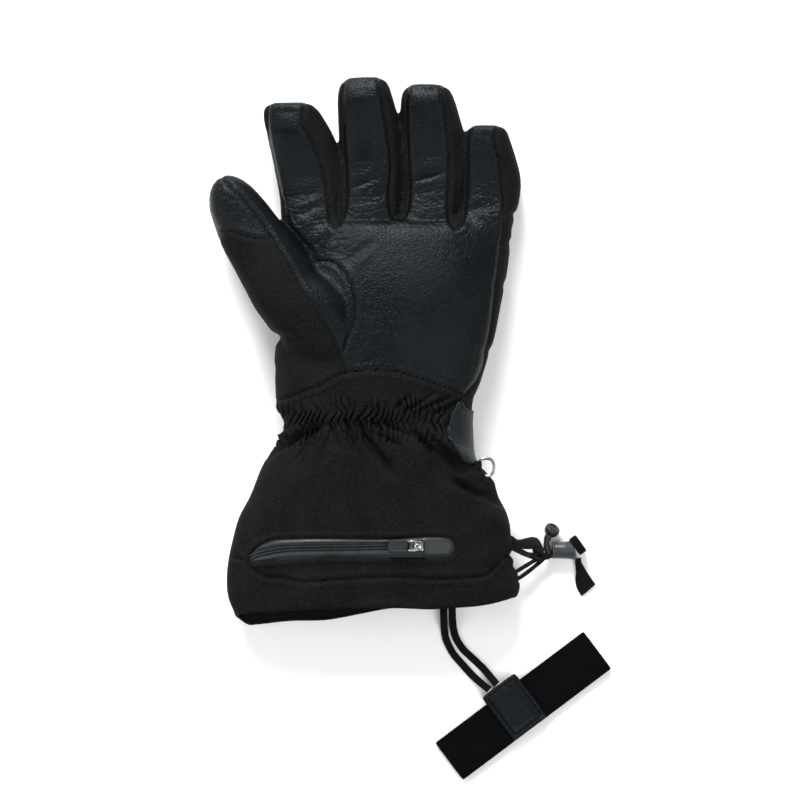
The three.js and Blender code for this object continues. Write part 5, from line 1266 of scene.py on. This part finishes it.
# two smooth lips exp(-(d/width)^2) either side of the coil's channel, which flatten towards the edge
lips = np.exp(-((zipD - 3.6) / 1.55) ** 2) + 0.9 * np.exp(-((zipD + 3.9) / 1.75) ** 2)
ridges = 0.12 * np.exp(-((np.abs(zipD) - 2.15) / 0.25) ** 2)
lipFade = smoothstep(-0.2, 1.6, zipInner)
uneven = 0.1 * waves(zipX.ravel(), zipY.ravel(), 7.0, 3.0).reshape(zipX.shape)
tapeHeight = -zipLook["sink"] + zipLook["welt"] * lips * lipFade + ridges + uneven
zipPanel("zipTape", tapeHeight, zipInner + 1.6, 0.7, rubber, "zip_inlay")
patchTop = -0.55 + 1.15 * smoothstep(-0.3, 2.6, zipInner) - 0.16 * np.exp(-((zipX - 33) / 5.0) ** 2)
patchTop -= 0.35 * np.exp(-((zipX - zipLook["patchStart"]) / 0.7) ** 2)
zipPanel("zipGarage", patchTop, np.minimum(zipInner + 0.9, zipX - zipLook["patchStart"]), 0.8, rubber,
         "zip_garage")


def zipCoil(side):
    # tube along the tooth line whose radius swells once a tooth: r (1 + 0.42 cos(way + turn))
    line = toothLine[(toothLine[:, 0] > -81.5) & (toothLine[:, 0] < 24)]
    length = np.linalg.norm(np.diff(line, axis=0), axis=1).sum()
    line = smoothLine(line, int(length / zipLook["pitch"] * 7))
    way = unit(np.gradient(line, axis=0))
    line = line + np.stack([-way[:, 1], way[:, 0]], -1) * zipLook["coilGap"] * side
    h = filled(heightsAt(line[::8, 0], line[::8, 1], smoothTree))
    z = np.interp(np.arange(len(line)), np.arange(0, len(line), 8), h) - zipLook["sink"] + 0.45
    line = np.concatenate([line, z[:, None]], 1)
    turn = np.linspace(0, 2 * math.pi, 10, endpoint=False)[None]
    teeth = 2 * math.pi * np.arange(len(line))[:, None] / 7
    swell = 1 + 0.42 * np.cos(teeth + side * 0.6 * np.sin(turn))
    rings = carried(line, roundProfile(2, 2, 10))
    return closedGrid(line[:, None] + (rings - line[:, None]) * (zipLook["coil"] * swell)[:, :, None])


def joinedParts(parts):
    shift = np.cumsum([0] + [len(points) for points, _ in parts[:-1]])
    return (np.concatenate([points for points, _ in parts]),
            np.concatenate([faces + s for (_, faces), s in zip(parts, shift)]))


dress(putMesh("zipCoils", *joinedParts([zipCoil(1), zipCoil(-1)])), coilPlastic,
      stands=["zip_coil"])

slider = {"place": np.array([21.32, -121.05, 43.22]), "slope": -0.0546}


def atSlider(points):
    # from the slider's own frame, tilted with the cloth under it
    c, s = math.cos(slider["slope"]), math.sin(slider["slope"])
    tilted = np.stack([points[:, 0] * c - points[:, 2] * s, points[:, 1],
                       points[:, 0] * s + points[:, 2] * c], -1)
    return tilted + slider["place"]


def softBlock(stations, sides=32, power=4.5):
    # rounded bar along x: at every station x, half width, bottom, top; its ends close in over small steps
    rows = np.array(stations, float)
    profile = roundProfile(2, 2, sides, power)
    y = profile[None, :, 0] * rows[:, 1:2]
    middle, half = (rows[:, 2:3] + rows[:, 3:4]) / 2, (rows[:, 3:4] - rows[:, 2:3]) / 2
    z = middle + profile[None, :, 1] * half
    x = np.broadcast_to(rows[:, :1], y.shape)
    points, faces = closedGrid(np.stack([x, y, z], -1))
    return points, faces[:, ::-1]


def wireLoop(route, width, height, sides=12, power=3.0):
    # closed loop of a flat wire round a route in the plane of x and y
    line = smoothLine(route, 72, closed=True)
    way = unit(np.roll(line, -1, 0) - np.roll(line, 1, 0))
    out = np.stack([way[:, 1], -way[:, 0], way[:, 0] * 0], -1)
    profile = roundProfile(width, height, sides, power)
    rings = line[:, None] + out[:, None] * profile[None, :, :1] + np.array([0, 0, 1]) * profile[None, :, 1:]
    quads = gridFaces(len(line) + 1, sides) % (len(line) * sides)
    return rings.reshape(-1, 3), triangles(quads)


def makeSlider():
    # plate with a waist between its raised sides, and the arched bridge over it
    plate = softBlock([(-4.75, 2.0, 0.7, 1.5), (-4.6, 3.1, 0.25, 1.7), (-4.2, 3.6, 0.05, 1.9),
                       (-2.0, 3.7, 0.0, 1.95), (0.5, 3.3, 0.0, 1.92), (2.6, 3.1, 0.0, 2.15),
                       (4.0, 3.3, 0.05, 2.05), (4.6, 2.7, 0.3, 1.8), (4.75, 1.8, 0.7, 1.4)])
    arch = [(-1.75, 0, 1.5), (-1.5, 0, 3.1), (-0.4, 0, 4.2), (2.2, 0, 4.3), (3.7, 0, 3.3), (4.3, 0, 1.6)]
    bridge = carried(smoothLine(arch, 36), roundProfile(0.85, 2.9, 14, 3.5), up=(0.0, 1.0, 0.0))
    return facingOut(*plate), facingOut(*closedGrid(bridge))


def makeLink():
    # flat frame from the bridge to the rubber tab, with a bar across its outer end
    half, start, end, level = 2.75, 0.0, -6.6, 2.69
    side = [(start - 0.2, half * 0.8), (start - 1.2, half), (-3.5, half), (end + 1, half),
            (end, half * 0.8)]
    mirrored = [(x, -y) for x, y in reversed(side)]
    route = [(x, y, level) for x, y in [(start, 0)] + side + [(end, 0)] + mirrored]
    return facingOut(*wireLoop(route, 1.0, 0.9))


def makePullTab():
    # cushioned slab with a raised rim and a shallow field within it
    u = np.linspace(-1, 1, 60)
    v = np.linspace(-1, 1, 44)
    u, v = np.meshgrid(u, v, indexing="ij")
    pinch = 1 - 0.045 * (np.abs(u * v) ** 5)
    x, y = -11.4 + u * 6.0 * pinch, v * 4.0 * pinch
    edge = np.minimum(6.0 - np.abs(x + 11.4), 4.0 - np.abs(y))
    rise = 0.9 * smoothstep(-0.1, 0.9, edge) - 0.22 * smoothstep(1.0, 1.5, edge) * smoothstep(-6.6, -7.4, x)
    top = np.stack([x, y, 3.75 + rise], -1)
    low = np.stack([x, y, 2.3 - 0.75 * smoothstep(-0.1, 0.8, edge)], -1)
    return slab(top, low)


def placed(name, made, place, finish, solid, body="glove"):
    # a made shape as a dressed piece, moved by a function of its points
    points, faces = made
    return dress(putMesh(name, place(points), faces), finish, body, stands=[solid] if solid else [])


sliderPlate, sliderBridge = makeSlider()
placed("zipSlider", sliderPlate, atSlider, darkMetal, "zip_slider")
placed("zipBridge", sliderBridge, atSlider, silver, None)
placed("zipLink", makeLink(), atSlider, silver, "zip_pull_link", "zip_pull")
placed("zipTab", makePullTab(), atSlider, tabRubber, "zip_pull_tab", "zip_pull")
print("zip done")

# leather patch round the wrist's side: the skin within its outline, raised, with a turned edge
patchRoute = [(49.0, -31.6), (45.3, -35.4), (42.2, -40.5), (41.0, -46.5), (39.3, -52.4), (41.5, -58.0),
              (44.3, -63.0), (46.6, -67.2), (49.5, -70.4), (55.0, -72.6), (62.0, -73.4), (100, -73.4),
              (100, -38.0), (56.8, -38.0)]
patchOutline = smoothLine(patchRoute, 120, closed=True)


def makePatch():
    # the skin within the patch's outline, smoothed and raised, its turned edge a low rim
    x, y, z = openSkin[:, 5], openSkin[:, 6], openSkin[:, 7]
    frontSide = signedDistance(x, y, patchOutline)
    backSide = np.minimum(np.minimum(y + 71.0, -36.0 - y), np.minimum(z - 3.2, x - 40.0))
    value = np.where(openSkin[:, 3] > 0, np.minimum(frontSide, x - 36.0), backSide)
    extra = np.concatenate([openSkin, value[:, None]], 1)
    points, faces = cutMesh(extra, openFaces, value)
    out = normalsOf(points[:, :3], faces)
    inner = points[:, -1]
    rise = 1.15 + 0.35 * np.exp(-((inner - 0.9) / 0.8) ** 2) - 0.35 * np.exp(-((inner - 2.3) / 0.45) ** 2)
    flat = smoothed(points[:, :3], edgesOf(faces), 12)
    inside = smoothstep(0.5, 3.0, inner)[:, None]
    shape = points[:, :3] * (1 - inside) + flat * inside
    return shape + out * (rise - 0.7 * (1 - smoothstep(0, 0.5, inner)))[:, None], faces


dress(thick(putMesh("wristPatch", *makePatch()), 1.3), patchLeather, stands=["wrist_patch"])
ring = {"place": np.array([64.55, -72.95, 31.5]), "half": (4.85, 5.4)}


def makeRing():
    # flattened ring: wire carried round a superellipse, thicker on its outer side
    a = np.linspace(0, 2 * math.pi, 24, endpoint=False)
    shape = lambda v: np.sign(v) * np.abs(v) ** 0.75
    route = np.stack([shape(np.cos(a)) * ring["half"][0], shape(np.sin(a)) * ring["half"][1],
                      0.35 * np.sin(a)], -1)
    return facingOut(*wireLoop(route, 1.9, 1.7, 14, 2.6))


def makeRingWebbing():
    # strip carried round the ring's bar and back under itself into the seam
    bar = -ring["half"][0]
    route = np.array([(bar - 5.5, 0, -0.9), (bar - 3.0, 0, -1.2), (bar - 1.2, 0, -1.9),
                      (bar + 0.6, 0, -1.75), (bar + 1.75, 0, 0),
                      (bar + 0.6, 0, 1.75), (bar - 1.2, 0, 1.6), (bar - 3.0, 0, 0.9), (bar - 5.5, 0, 0.4)])
    line = smoothLine(route, 60)
    rings = carried(line, roundProfile(0.95, 5.5, 22, 5), up=(0.0, 1.0, 0.0))
    return facingOut(*closedGrid(rings))


placed("sideRing", makeRing(), lambda q: q + ring["place"], ringMetal, "side_ring")
placed("ringWebbing", makeRingWebbing(), lambda q: q + ring["place"] + np.array([0, 1.2, 0]), webbing,
       "ring_webbing")


def ruledStrip(first, second, thickness, rows=70, columns=18, bulge=0.0):
    # cloth between two smooth edges, with a rounded section: z rises by bulge (1 - v^2)
    a, b = smoothLine(first, rows), smoothLine(second, rows)
    v = np.linspace(0, 1, columns)[None, :, None]
    sheet = a[:, None] * (1 - v) + b[:, None] * v
    lift = bulge * (1 - (2 * v - 1) ** 2)
    flat = triangles(gridFaces(rows, columns, around=False))
    up = normalsOf(sheet.reshape(-1, 3), flat).reshape(sheet.shape)
    up = up * np.sign(up[..., 2:].mean())
    thin = thickness / 2 * (1 - 0.55 * np.abs(2 * v - 1) ** 10)
    return slab(sheet + up * (lift + thin), sheet + up * (lift - thin))


def makeLockRibbon():
    # two strands of a twisted ribbon that part round a slit, and the black loop that ends it
    upper = ruledStrip([(71.0, -116.5, 15.5), (79.8, -115.6, 15.2), (84.7, -118.2, 14.6),
                        (90.2, -117.2, 14.2), (94.1, -116.6, 12.6), (97.4, -117.8, 11.0),
                        (99.8, -121.6, 9.4), (101.5, -124.8, 8.2)],
                       [(71.0, -119.5, 12.6), (78.0, -120.0, 12.2), (83.0, -122.6, 11.2),
                        (88.0, -124.0, 9.8), (91.5, -124.2, 9.0), (95.0, -124.3, 8.2), (98.0, -125.4, 7.6),
                        (100.5, -127.0, 7.4)], 1.1, bulge=0.5)
    lower = ruledStrip([(71.0, -118.8, 12.9), (78.0, -119.4, 12.4), (83.0, -121.8, 11.4),
                        (88.0, -124.4, 9.4), (91.5, -126.2, 8.0), (95.0, -126.4, 7.2), (98.0, -126.2, 6.8),
                        (101.0, -126.6, 6.6)],
                       [(71.0, -120.5, 11.4), (74.8, -121.5, 11.2), (82.7, -125.8, 9.2),
                        (88.0, -128.4, 8.0), (92.0, -130.0, 7.4), (95.1, -131.0, 7.0), (98.5, -130.8, 6.6),
                        (101.5, -129.6, 6.4)], 1.1, bulge=-0.3)
    return joinedParts([upper, lower])


def makeCordKnot():
    # two short curls of the cord in front of the lock
    curls = [[(94.6, -125.4, 8.6), (96.6, -124.8, 10.0), (99.2, -126.2, 10.4), (101.2, -128.2, 9.6),
              (103.4, -128.6, 8.2), (106.3, -128.4, 6.6)],
             [(94.8, -128.4, 8.6), (96.4, -130.2, 9.2), (99.0, -130.4, 9.0), (101.6, -129.6, 8.4),
              (104.0, -129.0, 7.4), (106.4, -127.2, 6.2)]]
    parts = []
    for curl in curls:
        line = smoothLine(curl, 40)
        parts.append(facingOut(*closedGrid(carried(line, roundProfile(2.9, 2.3, 14, 2.4)))))
    return parts


def turnedProfile(rows, sides=48):
    # surface of revolution about x: at every x a radius, its closing rings at radius near 0
    rows = np.array(rows, float)
    a = np.linspace(0, 2 * math.pi, sides, endpoint=False)
    ringY, ringZ = np.cos(a)[None] * rows[:, 1:2], np.sin(a)[None] * rows[:, 1:2]
    return np.stack([np.broadcast_to(rows[:, :1], ringY.shape), ringY, ringZ], -1)


def makeBarrel():
    # barrel that widens to its far end, ribbed by rings, its ends slanting; a flat side with a seam line
    x = np.linspace(0, 14.0, 90)
    radius = 5.05 + 0.035 * x + 0.35 * smoothstep(8, 14, x)
    ribs = 0.16 * np.cos(2 * math.pi * (x - 0.7) / 1.35) * smoothstep(7.6, 8.6, x)
    radius = radius + ribs + 0.3 * smoothstep(1.6, 0.6, x)
    radius = radius * (smoothstep(-0.9, 0.9, x) * 0.12 + 0.88) * (1 - 0.12 * smoothstep(13.0, 14.0, x))
    rings = turnedProfile(np.stack([x, radius], -1))
    a = np.linspace(0, 2 * math.pi, rings.shape[1], endpoint=False)[None]
    seam = 0.3 * np.exp(-((a - 0.62 * math.pi) / 0.09) ** 2) * smoothstep(0.5, 2.0, x)[:, None]
    rings[..., 1:] *= (1 - seam / radius[:, None])[..., None]
    rings[..., 0] += -0.28 * rings[..., 1] * smoothstep(4.0, 14.0, x)[:, None]
    hole = rings[:1].copy()
    hole[..., 1:] *= 0.55
    deep = hole + np.array([2.2, 0, 0])
    rings = np.concatenate([deep, hole, rings])
    return facingOut(*closedGrid(rings))


def makeKnob():
    # thick stalk and a round head with a rim and two slots on its top
    stem = smoothLine([(104.4, -127.0, 5.6), (103.1, -123.6, 6.0), (102.7, -120.2, 6.2),
                       (103.7, -116.8, 6.2), (105.2, -114.6, 6.2)], 40)
    width = 4.3 + 0.5 * np.cos(np.linspace(0, 2 * math.pi, 40)) + 0.25 * np.sin(np.linspace(0, 20, 40))
    stalk = facingOut(*closedGrid(carried(stem, roundProfile(1, 1, 18, 2.3), size=width)))
    rows = np.array([(-3.9, 2.2), (-3.4, 3.0), (-2.4, 3.9), (-1.2, 4.5), (0.2, 4.7), (1.4, 4.6),
                     (2.0, 4.3), (2.3, 3.9), (2.35, 3.5), (2.0, 3.1), (1.9, 2.4), (2.0, 1.2)])
    fine = smoothLine(rows, 60)
    head = turnedProfile(fine, 56)
    a = np.linspace(0, 2 * math.pi, 56, endpoint=False)[None]
    r = fine[:, 1:2]
    slot = smoothstep(0.9, 1.4, np.abs(r * np.sin(a))) * smoothstep(3.0, 2.4, r)
    head[..., 0] -= 1.1 * slot * (fine[:, :1] > 1.5)
    points, faces = facingOut(*closedGrid(head))
    along = unit(np.array([0.42, 0.72, 0.55]))
    side = unit(np.cross([0, 0, 1], along))
    turned = points[:, :1] * along + points[:, 1:2] * side + points[:, 2:] * np.cross(along, side)
    points = turned + np.array([106.2, -112.6, 5.6])
    points[:, 2] = np.maximum(points[:, 2], 0.4)
    return joinedParts([stalk, (points, faces)])


def makeEndBand():
    # ribbed strap folded round the barrel's far end: a squarish ring with a hollow middle, turned with it
    x = np.linspace(-2.6, 2.6, 60)
    rib = 0.16 * np.cos(2 * math.pi * x / 0.9)
    edge = (np.abs(x) / 2.6) ** 8
    profile = roundProfile(2, 2, 48, 3.0)
    y = profile[None, :, 0] * (6.1 + rib - 0.5 * edge)[:, None]
    z = profile[None, :, 1] * (5.1 + rib - 0.5 * edge)[:, None]
    rings = np.stack([np.broadcast_to(x[:, None], y.shape), y, z], -1)
    last = rings[-1:] * np.array([1, 0.62, 0.55])
    rings = np.concatenate([rings, last, last - np.array([1.4, 0, 0])])
    points, faces = facingOut(*closedGrid(rings))
    return turnedAt(points, 0.62, np.array([122.2, -121.8, 6.3])), faces


def makePullRibbon():
    # woven tail that narrows at a waist and opens, with a fold down its middle
    return ruledStrip([(120.4, -130.2, 3.4), (120.8, -133.0, 2.2), (121.3, -139.4, 1.5),
                       (120.9, -143.3, 1.1), (121.9, -148.8, 0.8), (124.9, -154.0, 0.75)],
                      [(124.4, -129.8, 4.4), (124.6, -132.4, 3.4), (125.9, -134.9, 3.0),
                       (128.9, -139.9, 2.4), (131.3, -143.3, 1.6), (133.6, -146.5, 0.9)], 0.9, 90, 24, 0.35)


def asMade(points):
    # shapes made in their own place stay there
    return points


placed("lockRibbon", makeLockRibbon(), asMade, ribbonCloth, "lock_ribbon")
lockBarrel = placed("lockBarrel", makeBarrel(), lambda q: q + np.array([106.4, -125.0, 5.8]), lockPlastic,
                    "cord_lock_barrel")
placed("lockKnob", makeKnob(), asMade, knobPlastic, "cord_lock_knob")
lockEnd = placed("lockEnd", makeEndBand(), asMade, webbing, "cord_lock_end")
placed("pullRibbon", makePullRibbon(), asMade, webbing, "pull_ribbon")
for number, part in enumerate(makeCordKnot()):
    dress(putMesh("cordCurl" + "AB"[number], *part), cordCloth)
print("lock and ring done")


stitchLook = {"length": 1.9, "pitch": 3.0, "thick": 0.36, "lift": 0.04}


def offsetLine(line, gap):
    # a line moved to its left by a gap
    way = unit(np.gradient(line, axis=0))
    return line + np.stack([-way[:, 1], way[:, 0]], -1) * gap


def stitchShape():
    # a thread's arch: five rings of six sides, thin at both ends
    t = np.linspace(-1, 1, 5)
    a = np.linspace(0, 2 * math.pi, 6, endpoint=False)
    radius = np.array([0.35, 0.9, 1.0, 0.9, 0.35])[:, None] * 0.5
    y, z = np.cos(a)[None] * radius, np.sin(a)[None] * radius * 0.8 + (0.5 * (1 - t ** 2) - 0.35)[:, None]
    rings = np.stack([np.broadcast_to((t / 2)[:, None], y.shape), y, z], -1)
    return facingOut(*closedGrid(rings))


def sewRow(line, tree, pitch=None, scale=1.0):
    # places, ways and normals of even stitches along a line, laid on the surface from above
    pitch = pitch or stitchLook["pitch"]
    length = np.linalg.norm(np.diff(line, axis=0), axis=1).sum()
    spots = smoothLine(line, max(3, int(length / pitch)))
    ways = unit(np.gradient(spots, axis=0))
    made = []
    for (sx, sy), (wx, wy) in zip(spots, ways):
        place, normal, _, _ = tree.ray_cast(Vector((sx, sy, rayHeight)), Vector((0, 0, -1)))
        if place is not None and normal.z > 0.12:
            made.append((place, normal, (wx, wy, 0), scale))
    return made


def sewn(name, rows, finish):
    # one thread piece: the stitch shape repeated at every place of its rows
    shape, faces = stitchShape()
    spots = [spot for row in rows for spot in row]
    place = np.array([list(s[0]) for s in spots])
    up = unit(np.array([list(s[1]) for s in spots]))
    way = np.array([s[2] for s in spots], float)
    way = unit(way - up * (way * up).sum(1, keepdims=True))
    side = np.cross(up, way)
    scale = np.array([s[3] for s in spots])[:, None, None]
    size = np.array([stitchLook["length"], stitchLook["thick"], stitchLook["thick"]])
    local = shape[None] * size * scale
    points = (place[:, None] + local[..., :1] * way[:, None] + local[..., 1:2] * side[:, None]
              + (local[..., 2:] + stitchLook["lift"]) * up[:, None])
    count = len(shape)
    allFaces = (faces[None] + np.arange(len(spots))[:, None, None] * count).reshape(-1, 3)
    return dress(putMesh(name, points.reshape(-1, 3), allFaces), finish)


def seamRow(name, gap, start=0.0, end=1.0, pitch=None, scale=1.0):
    # stitches beside a stretch of a seam
    line = seams[name]
    line = line[int(start * len(line)):max(int(end * len(line)), 3)]
    return sewRow(offsetLine(line, gap), shapedTree, pitch, scale)


wristRows = [seamRow("wristLeft", -3.1, 0.15), seamRow("wristPalm", -3.1),
             seamRow("wristRight", -3.1, 0, 0.8)]
hemRows = [seamRow("hem", -1.8, 0.03, 0.97, 2.7, 0.85)]
capRows = [seamRow("thumbCap", 1.7, 0.1, 0.95, 2.5, 0.8), seamRow("thumbCap", 3.2, 0.1, 0.95, 2.5, 0.8)]
leatherRows = [seamRow(seam, gap, 0.05, 0.95, 2.1, 0.62) for seam, gap in (
    ("indexLeft", 1.7), ("indexRight", -1.7), ("middleLeft", 1.7), ("middleRight", -1.7), ("ringLeft", 1.7),
    ("ringRight", -1.7), ("littleLeft", 1.7), ("littleRight", -1.7), ("keystone", 1.6), ("keystone", -1.6),
    ("thumbInner", 1.7), ("thumbOuter", 1.7), ("wristPalm", 1.7))]
zipBorder = smoothLine([(-20.0, -130.6), (10.0, -130.4), (30.0, -130.5), (41.0, -130.2), (45.8, -127.4),
                        (46.9, -121.0), (45.0, -115.2), (41.0, -113.2)], 60)
sewn("cuffStitches", wristRows + hemRows + [sewRow(zipBorder, shapedTree, 2.6, 0.8)], thread)
sewn("leatherStitches", capRows + leatherRows, thread)
# the tab's border row
tabPoints, tabFaces = arraysOf(leashTab)
tabTree = BVHTree.FromPolygons(tabPoints.tolist(), tabFaces.tolist())
tabHalf = np.array([tabPlace["width"], tabPlace["reach"]]) / 2 - tabPlace["sewnIn"]
corners = np.array([(-1, -1), (1, -1), (1, 1), (-1, 1), (-1, -1)]) * tabHalf
corners += np.array([tabPlace["across"], tabPlace["shift"]])
border = turnedAt(np.pad(corners, ((0, 0), (0, 1))), bandTurn, bandPlace)[:, :2]
tabRows = [sewRow(np.linspace(border[k], border[k + 1], 12), tabTree, 2.4, 0.85) for k in range(4)]
sewn("tabStitches", tabRows, thread)
print("stitches done")


cordEnds = [
    # cord with its line, length, diameter, stiffness, what it ends in
    (drawcords["drawcordUpper"], 0.034, 0.0026, "medium", lockBarrel),
    (drawcords["drawcordLower"], 0.035, 0.0026, "medium", lockEnd),
    (strands["leashStrandA"], 0.073, 0.0046, "limp", leashTab),
    (strands["leashStrandB"], 0.07, 0.0046, "limp", band),
]
for (cord, line), length, diameter, stiffness, fitting in cordEnds:
    tuple(line[0] * millimetre)
    (line * millimetre).tolist()

print("scene done")
